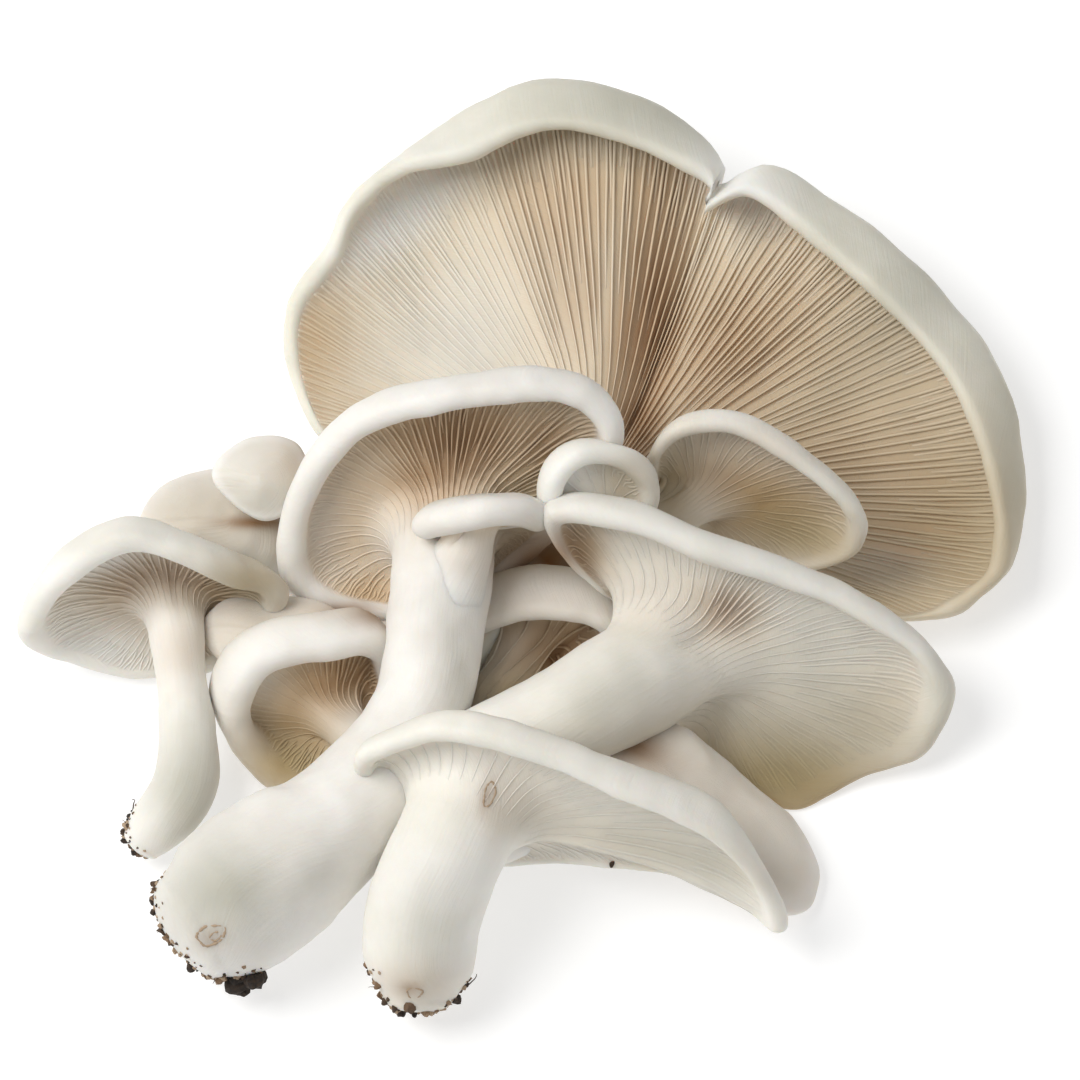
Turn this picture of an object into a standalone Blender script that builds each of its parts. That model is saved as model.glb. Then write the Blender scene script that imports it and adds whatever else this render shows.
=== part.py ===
"""Oyster mushroom cluster laid on a table with its gills turned up, in metres, +Z up.

Each mushroom is one grown piece with its stem, cap and gills in one solid. The pieces are measured
in a leaning frame, because the cluster lies back on its caps: across (x), up the cluster (v) and out
of its face (w), all in millimetres. LEAN turns that frame back onto the table, which is z = 0.
"""
import math
import random

import bmesh
import bpy
import numpy as np

MM = 0.001
LEAN = math.radians(25)
SHIFT_X = -0.6
SHIFT_Y = 7.65
CLEARANCE = 0.35
GRAIN_SEED = 20

STEM_STEP = 8
FOOT_ROUNDING = 0.45
LEAST_SEAT = 0.35
FLARE = 0.6
CAP_CENTRE_EASE = 0.40
EDGE_CURL = (0.33, 14.0)
WIDEST_FILLET = 0.74
STEEPEST_GILL = 1.3

# Colours of the grown flesh and of the dark growing medium, as linear red, green and blue.
FLESH_WHITE = (0.80, 0.75, 0.66, 1)
FLESH_TAN = (0.60, 0.47, 0.32, 1)
FLESH_SHADE = (0.68, 0.61, 0.50, 1)
CRUMB_BROWN = (0.05, 0.035, 0.022, 1)

# How the rows of a mushroom follow each other from stem to crown: the gill depth at each row of the
# sweep to the cap and of the gill side, the steps between columns, the arcs round the lip in degrees
# and the rows of the top with their steps.
LARGE_ROWS = dict(
    fillet=(1, 2, 3), under=(0.0, 0.33, 0.66, 0.93), steps=[2, 1, 1, 1],
    depths=(0.2, 0.45, 0.75, 0.9, 1, 1, 0.45), arcs=(-60, 0, 60),
    top=((0.88, 4), (0.74, 4), (0.55, 8), (0.28, 8)),
)
SMALL_ROWS = dict(
    fillet=(1, 2), under=(0.0, 0.5, 0.92), steps=[2, 1, 1],
    depths=(0.2, 0.4, 0.6, 1, 0.5), arcs=(-45, 45), top=((0.8, 4), (0.45, 4)),
)
SMALL_GILLS = 32

# Every rim is a ring of places (x, v, w, curl), seen as the cap's outline, and curl is the angle in
# degrees by which the edge turns over to the gill side. Every stem is a row of (x, v, w, radius)
# that starts at its foot and ends at the cap's centre. An edge_curl is how long a wide rolled edge
# is, as a share of the cap's reach and at most in millimetres, and with a full_curl it shrinks where
# the edge turns by less than that angle. A fold is (x, v, half angle, depth),
# a crease that runs from the cap's centre toward that place, pressed away from the gill side.
TRUNK = dict(
    rim=[
        (-38.4, -2.4, 20, 70), (-37.9, 4, 23.5, 85), (-35.2, 11.2, 28, 92), (-29.6, 18.4, 33.5, 98),
        (-22.4, 22.4, 37, 100), (-12.8, 24.8, 39, 100), (-1.6, 26.1, 39, 100), (6.4, 26.1, 38, 95),
        (12.8, 24, 36, 88), (16.2, 19.2, 33, 75), (15, 13, 27.5, 65), (10.5, 6.5, 23, 55),
        (4, 0, 19.5, 50), (-4, -7, 16.8, 45), (-13.5, -12, 15, 40), (-21.6, -11.6, 15, 45),
        (-26.4, -11, 15, 50), (-32, -9.9, 16, 55), (-36.8, -6.7, 17.5, 60),
    ],
    stem=[
        (-51.8, -60.4, 42, 9.3), (-46.4, -57, 41, 12.2), (-37.4, -50.4, 39, 12), (-30.1, -45, 36.5, 10.3),
        (-20.8, -35.2, 32.5, 8.8), (-16.2, -26.7, 30, 7.9), (-14.2, -18.4, 29, 7.7),
        (-13.2, -11, 29, 7.9), (-12, -3, 28, 8.2), (-11.5, 5.5, 20.5, 9.5),
    ],
    rim_thickness=4.4, hub_thickness=7.5, gills=56, gill_depth=1.9, gills_to_viewer=True,
    colour=FLESH_WHITE,
)
FAN = dict(
    rim=[
        (-31.7, 16.8, 0, 15), (-35.4, 22.4, -1, 25), (-37.9, 31.2, -2, 35), (-37.3, 39.6, -2, 50),
        (-31.7, 47.4, -2, 80), (-28.5, 54.9, -2, 110), (-20.6, 62.8, -2, 132), (-11.6, 69.6, -2, 145),
        (-1.6, 74.6, -2, 150), (8.2, 75.8, -2, 152), (19.6, 73, -2, 150), (27.8, 68, -2, 140),
        (32.6, 62.6, -2, 115), (31.4, 58.6, -1, 90), (39.2, 62.2, -1, 120), (49.2, 57.2, -1, 142),
        (59.2, 49.8, 0, 148), (68.4, 40.8, 1.5, 148), (75.8, 30.8, 3.5, 146), (79.8, 20.6, 6, 140),
        (80.9, 8.8, 9, 128), (79, -2.4, 11.5, 105), (74.4, -8, 12.5, 80), (67.6, -11.7, 12.5, 60),
        (57.6, -12, 12, 50), (42, -8.5, 10, 45), (26, -8, 7.5, 35), (14, -9.5, 5.8, 30),
        (1, -8.5, 5.5, 30), (-9, -3, 3.4, 30), (-18, 7, 1.5, 25), (-26, 13, 0.5, 20),
    ],
    stem=[
        (-15, -27, 22.5, 4), (-9, -18, 16.5, 4.3), (0, -7, 12.8, 4.8), (8, 2, 10.4, 6), (14, 8, 0.6, 9),
    ],
    rim_thickness=3, hub_thickness=8, gills=72, gill_depth=1.2, gills_to_viewer=True,
    edge_curl=(0.6, 34), full_curl=150, folds=[(31.4, 58.6, 13, 3.5)], colour=FLESH_TAN,
)
RIGHT_FUNNEL = dict(
    rim=[
        (4.5, 6.5, 38, 85), (16, 5.8, 39, 95), (28.8, 1.2, 38, 98), (41.6, -3.3, 35, 98),
        (54.4, -9.1, 31, 88), (65.6, -16.8, 26, 65), (69.2, -24.2, 22.5, 40), (64.6, -33.2, 19.5, 20),
        (54.8, -37, 18.5, 12), (44.8, -42, 18.5, 10), (36.8, -39.4, 17.4, 10), (27, -34, 16.4, 15),
        (20.5, -27.5, 15, 25), (16.8, -18, 14.5, 25), (15.5, -9.5, 18, 30), (10.5, -4.5, 27, 50),
        (5.2, 1.2, 34, 70),
    ],
    stem=[
        (-17, -38, 32, 6.5), (-8, -34.5, 32, 7.6), (3, -29.5, 32, 8.2), (13, -24.5, 31.5, 9),
        (26.5, -17, 23.5, 10),
    ],
    rim_thickness=4, hub_thickness=7.5, gills=56, gill_depth=1.8, gills_to_viewer=True,
    colour=FLESH_SHADE,
)
FRONT_LOW = dict(
    rim=[
        (-26, -33.3, 45, 75), (-21.6, -30.7, 50, 85), (-12.8, -28.3, 56, 92), (-3.2, -29.6, 58, 92),
        (6.4, -33.1, 57, 92), (16, -37.6, 55, 90), (25.6, -41.6, 52, 85), (33.6, -46.4, 49, 80),
        (40, -53.6, 45, 60), (42.4, -60.5, 40.5, 35), (37.6, -57, 37, 15), (28.8, -52.4, 36, 10),
        (19.2, -50.8, 34.5, 10), (6.4, -50, 32, 10), (-6.4, -50, 30, 20), (-17, -45.5, 30, 35),
        (-24, -38.5, 37, 60),
    ],
    stem=[
        (-16, -71.2, 40, 6), (-15.8, -66.5, 41, 8.7), (-15.6, -60, 42.8, 9.2), (-14, -54, 44.3, 9.2),
        (-11, -47.5, 45, 8.8), (-7, -40, 41, 10),
    ],
    rim_thickness=3.4, hub_thickness=7, gills=48, gill_depth=1.8, gills_to_viewer=True,
    colour=FLESH_SHADE,
)
LEFT_EDGE = dict(
    rim=[
        (-80, -12.5, 24, 60), (-76, -5.6, 30, 80), (-69.6, -0.5, 34, 85), (-62.4, 2.1, 36, 85),
        (-54.4, 0.4, 35, 80), (-44.8, -3.2, 31, 75), (-37.4, -6.6, 25, 65), (-40, -13, 17, 50),
        (-50, -19.2, 12, 25), (-60.8, -20.3, 10.5, 12), (-65.6, -19.9, 11, 10), (-72, -18.1, 13, 12),
        (-78.4, -15.6, 17, 30),
    ],
    stem=[
        (-60.2, -47.4, 27.6, 3.4), (-57.8, -44.5, 28, 4.6), (-53.6, -38.5, 27.6, 5.2),
        (-53, -29.6, 26.5, 4.6), (-54, -21.6, 24.5, 4.1), (-55, -13, 21, 4.8), (-56, -7.5, 17, 6),
    ],
    rim_thickness=2.8, hub_thickness=5.5, gills=40, gill_depth=1.6, gills_to_viewer=True,
    colour=FLESH_TAN,
)
LOW_RIGHT = dict(
    rim=[
        (16.6, -34, 31.5, 40), (20, -30.8, 29, 40), (25, -29.8, 26.5, 40), (30, -32.4, 25, 40),
        (37.4, -38.6, 24, 40), (43.5, -43.5, 24, 40), (47.7, -51.4, 26.2, 40), (46, -57.6, 29, 40),
        (41, -58.5, 31.5, 40), (34, -53.5, 33, 40), (25.5, -47.5, 34, 40), (18, -41.5, 34.5, 40),
    ],
    stem=[
        (-8, -49, 38, 3.6), (4, -45, 31.5, 3.4), (15, -43.5, 28.2, 3.4), (24, -43.3, 26.6, 3.6),
        (31.5, -43.5, 30, 5),
    ],
    rim_thickness=2.6, hub_thickness=4.6, gills=24, gill_depth=0.8, gills_to_viewer=False,
    colour=FLESH_WHITE,
)
RIGHT_SMALL = dict(
    rim=[
        (21, 15.5, 26, 85), (24.5, 19, 28, 92), (30, 20.2, 28.5, 95), (36, 19.4, 28, 95),
        (43.2, 15.4, 27, 92), (49.6, 10.6, 25, 85), (54.4, 5.6, 22, 75), (55.4, 1.4, 19, 60),
        (52.8, -2, 16.5, 50), (45, -4, 14, 45), (36, -4, 11.5, 40), (27, -3, 9.5, 35),
        (20.5, 1.5, 9.5, 35), (19.5, 9.5, 16, 55),
    ],
    stem=[
        (9, -7, 15.5, 3), (14.5, -3.5, 16.4, 3.4), (20, 1.5, 17.4, 3.8), (28.5, 8, 15.5, 5.5),
    ],
    rim_thickness=2.8, hub_thickness=4.6, gills=40, gill_depth=1, gills_to_viewer=True,
    colour=FLESH_TAN,
)
CENTRE_BUTTON = dict(
    rim=[
        (3.2, 7.2, 34.5, 95), (4.6, 11.6, 38, 100), (8.4, 15, 39, 95), (13, 15.8, 37.5, 80),
        (18, 14.6, 35, 50), (21.4, 11.6, 32, 35), (22, 7, 28.5, 30), (19.5, 2.8, 26, 30),
        (14, 0.8, 25, 40), (8.4, 1.4, 27, 55), (4.4, 3.6, 31, 80),
    ],
    stem=[
        (12.6, -2.5, 31.2, 2), (12.6, 1.5, 30, 2.1), (12.8, 7, 27.4, 3),
    ],
    rim_thickness=2.6, hub_thickness=3.4, gills=24, gill_depth=0.6, gills_to_viewer=True,
    edge_curl=(0.5, 6), colour=FLESH_SHADE,
)
CENTRE_BUD = dict(
    rim=[
        (-16.8, 3, 35.5, 45), (-13, 4, 40.5, 25), (-5.5, 5.2, 43.5, 20), (1.5, 5.4, 40.5, 25),
        (4.6, 4.6, 35.5, 45), (1.5, 5.4, 29.5, 25), (-5.5, 5.2, 27, 20), (-13, 4.2, 29.5, 25),
    ],
    stem=[
        (-13, -16, 27, 4.6), (-12, -9, 28, 4.8), (-10, -2, 31, 4.6), (-7, 5, 35, 4),
    ],
    rim_thickness=5, hub_thickness=5.4, gills=24, gill_depth=0.1, gills_to_viewer=False,
    colour=FLESH_WHITE,
)
INNER = dict(
    rim=[
        (-12.4, -12.6, 20.5, 100), (-7.4, -8.4, 24, 118), (0, -5.6, 26.5, 125), (8, -5.8, 27, 125),
        (14.5, -8.8, 24.5, 110), (16.5, -13, 20, 85), (14.5, -18.5, 15.5, 40), (8, -22, 12.8, 15),
        (-1, -22.4, 12.8, 10), (-9, -20.5, 14, 20), (-13, -16.5, 16.5, 50),
    ],
    stem=[
        (0, -30, 22, 2.6), (1, -26, 21.5, 2.8), (2.4, -21, 19.4, 3), (4, -14, 13, 5),
    ],
    rim_thickness=4, hub_thickness=4.6, gills=32, gill_depth=0.8, gills_to_viewer=True,
    edge_curl=(0.8, 15), colour=FLESH_WHITE,
)
LEFT_CURL = dict(
    rim=[
        (-48.3, -26.4, 26, 115), (-47.7, -21.6, 28, 128), (-44.8, -16.8, 30, 138), (-39.2, -13.9, 31, 142),
        (-30.4, -12.3, 30.5, 140), (-23, -12.5, 27, 115), (-19, -18, 21, 60), (-18.5, -27, 17, 35),
        (-23, -36, 18.5, 20), (-31, -40, 19, 12), (-38.5, -39, 19.5, 15), (-45, -33.5, 21.5, 55),
    ],
    stem=[
        (-20.5, -36, 31, 3.8), (-25, -32, 26.5, 3.9), (-30.5, -27.5, 18.5, 5.5),
    ],
    rim_thickness=3.6, hub_thickness=5, gills=36, gill_depth=1.4, gills_to_viewer=True,
    edge_curl=(0.6, 12), colour=FLESH_WHITE,
)
LEFT_BUTTON = dict(
    rim=[
        (-50.6, -13.8, 20, 40), (-48, -9.4, 19, 40), (-41.6, -8, 18.5, 40), (-35, -8.6, 19.5, 40),
        (-29.5, -10.8, 21, 40), (-28.5, -14.5, 22.5, 40), (-32, -18.5, 23.5, 40), (-39, -20.5, 23.8, 40),
        (-46.5, -19, 22.5, 40),
    ],
    stem=[
        (-17, -20.5, 23, 2.6), (-26, -19, 17.6, 2.6), (-34, -17, 16.6, 2.6), (-40, -14.2, 23, 4),
    ],
    rim_thickness=2.6, hub_thickness=4, gills=24, gill_depth=0.7, gills_to_viewer=False,
    colour=FLESH_WHITE,
)
UPPER_LEFT_LARGE = dict(
    rim=[
        (-61.2, 2.6, 12.5, 40), (-59.4, 7.4, 11, 40), (-55, 10.6, 10, 40), (-48.5, 12.2, 9.5, 40),
        (-40, 12, 10, 40), (-35.5, 8, 11, 40), (-35, 1, 12, 40), (-38, -5, 13, 40),
        (-44, -6, 13.8, 40), (-52, -3.6, 14, 40), (-58.4, -1, 13.8, 40),
    ],
    stem=[
        (-15, -21, 25, 2.8), (-22, -16, 14.5, 2.8), (-32, -8.5, 7.8, 2.8), (-41, -2, 7.6, 3),
        (-47, 3.8, 16, 4.5),
    ],
    rim_thickness=2.6, hub_thickness=4.4, gills=24, gill_depth=0.8, gills_to_viewer=False,
    colour=FLESH_WHITE,
)
UPPER_LEFT_SMALL = dict(
    rim=[
        (-49, 11.6, 20, 40), (-46, 15.6, 19, 40), (-41.4, 17.3, 18.5, 40), (-36, 16.2, 19, 40),
        (-34.2, 12.5, 19.6, 40), (-34.6, 8, 20.4, 40), (-37.5, 5.2, 21, 40), (-42, 4.3, 21.4, 40),
        (-46.5, 7.2, 20.8, 40),
    ],
    stem=[
        (-43, 7.6, 15.8, 2), (-42.4, 8.8, 18, 2.2), (-41.4, 10.6, 23, 3.2),
    ],
    rim_thickness=2.4, hub_thickness=3.6, gills=24, gill_depth=0.6, gills_to_viewer=False,
    colour=FLESH_WHITE,
)

# Crumbs of the dark growing medium hang on each foot along an arc: its centre (x, v, w), its
# radius, its first and last angle in degrees, and the radius and count of the lumps.
MAIN_FOOT_CRUMBS = dict(
    centre=(-45.5, -57, 36.5), radius=12.2, angles=(165, 285), lump=2.6, count=12,
)
FRONT_FOOT_CRUMBS = dict(
    centre=(-15.8, -64.2, 36), radius=9.3, angles=(212, 328), lump=2.2, count=10,
)
LEFT_FOOT_CRUMBS = dict(
    centre=(-59.3, -45.4, 25), radius=4.1, angles=(120, 265), lump=1.9, count=6,
)
LUMP_ROUGHNESS = 0.16

CRUMBS = [
    ("crumbs_main_foot", MAIN_FOOT_CRUMBS, "mushroom_main_trunk"),
    ("crumbs_front_foot", FRONT_FOOT_CRUMBS, "mushroom_front_low"),
    ("crumbs_left_foot", LEFT_FOOT_CRUMBS, "mushroom_left_edge"),
]

# Each piece with the neighbours that it grows against and is kept clear of.
CLUSTER = [
    ("mushroom_main_trunk", TRUNK, []),
    ("mushroom_front_low", FRONT_LOW, ["mushroom_main_trunk"]),
    ("mushroom_back_fan", FAN, ["mushroom_main_trunk"]),
    ("mushroom_right_funnel", RIGHT_FUNNEL, ["mushroom_main_trunk", "mushroom_front_low"]),
    ("mushroom_left_curl", LEFT_CURL, ["mushroom_main_trunk"]),
    ("mushroom_left_edge", LEFT_EDGE, ["mushroom_left_curl", "mushroom_main_trunk"]),
    ("mushroom_centre_bud", CENTRE_BUD, ["mushroom_main_trunk", "mushroom_right_funnel"]),
    ("mushroom_inner", INNER,
     ["mushroom_main_trunk", "mushroom_right_funnel", "mushroom_back_fan"]),
    ("mushroom_centre_button", CENTRE_BUTTON,
     ["mushroom_main_trunk", "mushroom_centre_bud", "mushroom_right_funnel"]),
    ("mushroom_right_small", RIGHT_SMALL,
     ["mushroom_back_fan", "mushroom_right_funnel", "mushroom_centre_button", "mushroom_inner"]),
    ("mushroom_low_right", LOW_RIGHT, ["mushroom_front_low", "mushroom_right_funnel"]),
    ("mushroom_left_button", LEFT_BUTTON,
     ["mushroom_main_trunk", "mushroom_left_curl", "mushroom_left_edge"]),
    ("mushroom_upper_left_large", UPPER_LEFT_LARGE,
     ["mushroom_main_trunk", "mushroom_back_fan", "mushroom_left_button", "mushroom_left_edge",
      "mushroom_left_curl"]),
    ("mushroom_upper_left_small", UPPER_LEFT_SMALL,
     ["mushroom_upper_left_large", "mushroom_main_trunk", "mushroom_back_fan"]),
]


def unit(vectors):
    """Vectors, in the last axis, at length one."""
    return vectors / np.maximum(np.linalg.norm(vectors, axis=-1, keepdims=True), 1e-9)


def catmull_rom(before, start, end, after, part):
    """The smooth curve from start to end, at part of the way."""
    return 0.5 * (
        2 * start
        + (end - before) * part
        + (2 * before - 5 * start + 4 * end - after) * part**2
        + (3 * start - before - 3 * end + after) * part**3
    )


def ring_curve(points, samples):
    """A closed smooth curve through points, in samples places per span."""
    points = np.array(points, float)
    parts = np.arange(samples)[:, None] / samples
    spans = zip(np.roll(points, 1, 0), points, np.roll(points, -1, 0), np.roll(points, -2, 0))
    return np.concatenate([catmull_rom(*span, parts) for span in spans])


def open_curve(points, samples):
    """An open smooth curve through points, ends included."""
    points = np.array(points, float)
    padded = np.vstack([2 * points[0] - points[1], points, 2 * points[-1] - points[-2]])
    parts = np.arange(samples)[:, None] / samples
    spans = [
        catmull_rom(*padded[first : first + 4], parts) for first in range(len(points) - 1)
    ]
    return np.concatenate(spans + [points[-1:]])


def along(curve):
    """The length of a curve up to each of its points."""
    steps = np.linalg.norm(np.diff(curve[:, :3], axis=0), axis=1)
    return np.concatenate([[0], np.cumsum(steps)])


def turn(vectors, start, end):
    """Vectors turned by the smallest rotation that takes start to end."""
    axis = np.cross(start, end)
    cosine = float(np.dot(start, end))
    cross = np.cross(axis, vectors)
    return vectors + cross + np.cross(axis, cross) / max(1 + cosine, 1e-6)


class Cap:
    """One cap's outline, its middle surface and its gill side, in columns round its centre."""

    def __init__(self, piece, columns, rng):
        centre = np.array(piece["stem"][-1][:3], float)
        rim = ring_curve(piece["rim"], 40)
        spokes = rim[:, :3] - centre
        normal = unit(np.cross(spokes, np.roll(spokes, -1, 0)).sum(axis=0))
        if (normal[2] < 0) != piece["gills_to_viewer"]:
            normal = -normal
            rim = rim[::-1]
            spokes = spokes[::-1]
        flat = spokes - (spokes @ normal)[:, None] * normal
        side = unit(flat[0])
        other = np.cross(normal, side)
        angle = np.unwrap(np.arctan2(flat @ other, flat @ side))
        closed = np.vstack([rim, rim[:1]])
        length = along(closed)
        turned = np.append(angle, angle[0] + 2 * math.pi) / (2 * math.pi)
        share = np.maximum.accumulate(0.5 * length / length[-1] + 0.5 * turned)
        wanted = (np.arange(columns) + rng.uniform(-0.12, 0.12, columns)) / columns
        wanted = share[0] + (share[-1] - share[0]) * np.clip(wanted, 0, 1)
        place = np.stack([np.interp(wanted, share, column) for column in closed.T], axis=1)
        spokes = place[:, :3] - centre
        self.centre = centre
        self.normal = normal
        self.height = spokes @ normal
        flat = spokes - self.height[:, None] * normal
        self.reach = np.linalg.norm(flat, axis=1)
        self.out = unit(flat)
        self.curl = np.radians(place[:, 3])
        share, longest = piece.get("edge_curl", EDGE_CURL)
        length = np.minimum(share * np.hypot(self.reach, self.height), longest)
        if "full_curl" in piece:
            length *= np.minimum(place[:, 3] / piece["full_curl"], 1) ** 1.5
        self.curl_ahead = length * np.cos(self.curl)
        self.curl_up = length * np.sin(self.curl)
        self.rim_half = piece["rim_thickness"] / 2
        self.hub_half = piece["hub_thickness"] / 2
        self.fold = np.zeros(columns)
        for x, v, half_angle, depth in piece.get("folds", []):
            toward = np.array([x, v, centre[2]]) - centre
            toward = unit(toward - (toward @ normal) * normal)
            off = np.degrees(np.arccos(np.clip(self.out @ toward, -1, 1)))
            self.fold += depth * np.exp(-((off / half_angle) ** 2))
        self.stretch = np.ones(columns)
        tail = np.repeat(np.linspace(0.5, 1, 24)[:, None], columns, axis=1)
        flesh = self.flesh(tail)
        middle, across = self.profile(tail)
        outermost = np.max(middle[0] + across[0] * flesh, axis=0)
        outermost = np.maximum(outermost, middle[0, -1] + self.rim_half)
        self.stretch = self.reach / outermost

    def flesh(self, part):
        """Half the flesh's thickness at part of the way to the lip."""
        return self.rim_half + (self.hub_half - self.rim_half) * (1 - part) ** 1.5

    def profile(self, part):
        """The middle surface and its normal, as reach and height, at part of the way to the lip."""
        zero = np.zeros_like(self.reach)
        corners = [
            (zero, zero),
            (CAP_CENTRE_EASE * self.reach, zero),
            (self.reach - self.curl_ahead, self.height + self.curl_up),
            (self.reach, self.height),
        ]
        weights = [(1 - part) ** 3, 3 * part * (1 - part) ** 2, 3 * part**2 * (1 - part), part**3]
        reach = sum(weight * corner[0] for weight, corner in zip(weights, corners))
        height = sum(weight * corner[1] for weight, corner in zip(weights, corners))
        slopes = [3 * (1 - part) ** 2, 6 * part * (1 - part), 3 * part**2]
        ahead = [
            sum(w * (b[axis] - a[axis]) for w, a, b in zip(slopes, corners, corners[1:]))
            for axis in (0, 1)
        ]
        height = height + self.fold * np.sin(math.pi * part**0.8) ** 1.2
        reach = reach * self.stretch
        ahead[0] = ahead[0] * self.stretch
        size = np.maximum(np.hypot(*ahead), 1e-9)
        return np.array([reach, height]), np.array([-ahead[1] / size, ahead[0] / size])

    def place(self, flat):
        """Points from reach and height in each column."""
        return self.centre + flat[0][..., None] * self.out + flat[1][..., None] * self.normal

    def surface(self, part, side):
        """Points of the top (side 1) or the gill side (side -1), and the way into the flesh."""
        middle, across = self.profile(part)
        inward = across[0][..., None] * self.out + across[1][..., None] * self.normal
        return self.place(middle + side * self.flesh(part) * across), -side * inward


def gill_side_height(cap):
    """How far the gill side lies from the centre at any reach, for each column."""
    parts = np.linspace(0.02, 1, 40)[:, None] * np.ones(len(cap.reach))
    middle, across = cap.profile(parts)
    under = middle - cap.flesh(parts) * across
    widest = np.maximum.accumulate(under[0], axis=0)
    return widest, under[1]


def ring_at(curve, length, stop):
    """The centre, radius and way up of the stem at a stop along it."""
    row = [np.interp(stop, length, column) for column in curve.T]
    ahead, behind = (
        np.array([np.interp(stop + step, length, column) for column in curve[:, :3].T])
        for step in (0.5, -0.5)
    )
    return np.array(row[:3]), row[3], unit(ahead - behind)


def last_stop(curve, length, cap):
    """How far the round stem goes before it would touch the gill side."""
    widest, heights = gill_side_height(cap)
    stop = length[-1] - cap.hub_half
    while stop > 0.35 * length[-1]:
        centre, radius, way = ring_at(curve, length, stop)
        points = centre + radius * turn(cap.out, cap.normal, way) - cap.centre
        reach = np.einsum("ij,ij->i", points, cap.out)
        height = points @ cap.normal
        side = [
            np.interp(reach[i], widest[:, i], heights[:, i]) for i in range(len(reach))
        ]
        if np.min(np.array(side) - height) > LEAST_SEAT * radius:
            return stop
        stop -= 0.4
    return stop


def stem_rings(piece, cap):
    """Rings of the stem from its foot up to where the gills start, each with its way up."""
    curve = open_curve(piece["stem"], 12)
    length = along(curve)
    last = last_stop(curve, length, cap)
    count = max(2, round(last / STEM_STEP))
    rings = []
    spread, above = cap.out, cap.normal
    for stop in np.linspace(last, 0, count + 1):
        centre, radius, way = ring_at(curve, length, stop)
        spread = turn(spread, above, way)
        above = way
        rings.append((centre, radius, way, spread))
    return rings[::-1]


def foot_rows(centre, radius, way, spread):
    """The blunt end below the lowest ring of a stem."""
    rows = []
    for tilt in (60, 25):
        inset = radius * math.cos(math.radians(tilt))
        drop = FOOT_ROUNDING * radius * math.sin(math.radians(tilt))
        rows.append(centre - drop * way + inset * spread)
    return centre - FOOT_ROUNDING * radius * way, rows


def fillet_rows(cap, ring, count):
    """Rows that sweep from the highest ring out to the gill side, the way into the flesh at each,
    and the part of the way to the lip at which they end."""
    centre, radius, way, spread = ring
    start = centre + radius * spread
    reach = np.einsum("ij,ij->i", start - cap.centre, cap.out)
    wanted = np.clip(reach + FLARE * radius, 0.35 * cap.reach, WIDEST_FILLET * cap.reach)
    parts = np.linspace(0.05, 0.95, 46)[:, None] * np.ones(len(wanted))
    middle, _ = cap.profile(parts)
    ending = np.array(
        [np.interp(want, middle[0, :, i], parts[:, 0]) for i, want in enumerate(wanted)]
    )
    end, inward = (block[0] for block in cap.surface(ending[None], -1))
    further = cap.surface(ending[None] + 0.02, -1)[0][0]
    outward = unit(further - end)
    open_side = np.clip((wanted - reach) / (FLARE * radius), 0, 1)[:, None]
    arrival = unit(open_side * outward + (1.02 - open_side) * cap.normal)
    gap = np.linalg.norm(end - start, axis=1)[:, None]
    first = start + 0.42 * gap * way
    second = end - 0.38 * gap * arrival
    rows = []
    ways = []
    for step in range(1, count + 1):
        part = step / (count + 1)
        rows.append(
            (1 - part) ** 3 * start
            + 3 * part * (1 - part) ** 2 * first
            + 3 * part**2 * (1 - part) * second
            + part**3 * end
        )
        ways.append(unit((1 - part) * -spread + part * inward))
    return rows, ways, ending


def gill_rows(rows, strides, inward, depths, variety):
    """Rows with a valley between each two gills, pressed into the flesh by the row's depth."""
    pressed = []
    for row, stride, way, depth in zip(rows, strides, inward, depths):
        valley = (np.arange(len(row)) // stride) % 2
        beside = np.linalg.norm(np.roll(row, -stride, 0) - np.roll(row, stride, 0), axis=1) / 2
        press = np.minimum(depth * variety, STEEPEST_GILL * beside)
        pressed.append(row + way * (valley * press)[:, None])
    return pressed


def mushroom_rows(piece, gilled):
    """All rows of a mushroom from foot to crown, each with its stride, and its two end points."""
    rng = np.random.default_rng(GRAIN_SEED)
    columns = 2 * piece["gills"]
    cap = Cap(piece, columns, rng)
    rings = stem_rings(piece, cap)
    shape = SMALL_ROWS if piece["gills"] <= SMALL_GILLS else LARGE_ROWS
    sides = 16 if columns >= 160 else 8 if columns >= 80 else 4
    pole, rows = foot_rows(*rings[0])
    rows += [centre + radius * spread for centre, radius, _, spread in rings]
    strides = [sides] * len(rows)
    fillet, ways, ending = fillet_rows(cap, rings[-1], len(shape["fillet"]))
    under, inward = cap.surface(ending + (1 - ending) * np.array(shape["under"])[:, None], -1)
    steps = [max(2, sides // 2)] + [max(2, sides // 4)] * (len(shape["fillet"]) - 1)
    steps += shape["steps"]
    depths = piece["gill_depth"] * np.array(shape["depths"]) * gilled
    variety = rng.uniform(0.8, 1.1, columns)
    rows += gill_rows(fillet + list(under), steps, ways + list(inward), depths, variety)
    strides += steps
    edge = np.ones((1, columns))
    middle, across = cap.profile(edge)
    ahead = np.array([across[1], -across[0]])
    for arc in shape["arcs"]:
        tilt = math.radians(arc)
        offset = cap.rim_half * (math.cos(tilt) * ahead + math.sin(tilt) * across)
        rows.append(cap.place(middle + offset)[0])
        strides.append(2)
    for share, stride in shape["top"]:
        rows.append(cap.surface(share * edge, 1)[0][0])
        strides.append(stride)
    crown = cap.surface(0 * edge, 1)[0][0, 0]
    return pole, rows, strides, crown


def world(points):
    """Places in the leaning frame as world metres, with what reaches the table resting on it."""
    x, v, w = np.moveaxis(np.asarray(points, float), -1, 0)
    y = v * math.cos(LEAN) - w * math.sin(LEAN) + SHIFT_Y
    z = np.maximum(v * math.sin(LEAN) + w * math.cos(LEAN), 0)
    return np.stack([x + SHIFT_X, y, z], axis=-1) * MM


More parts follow.
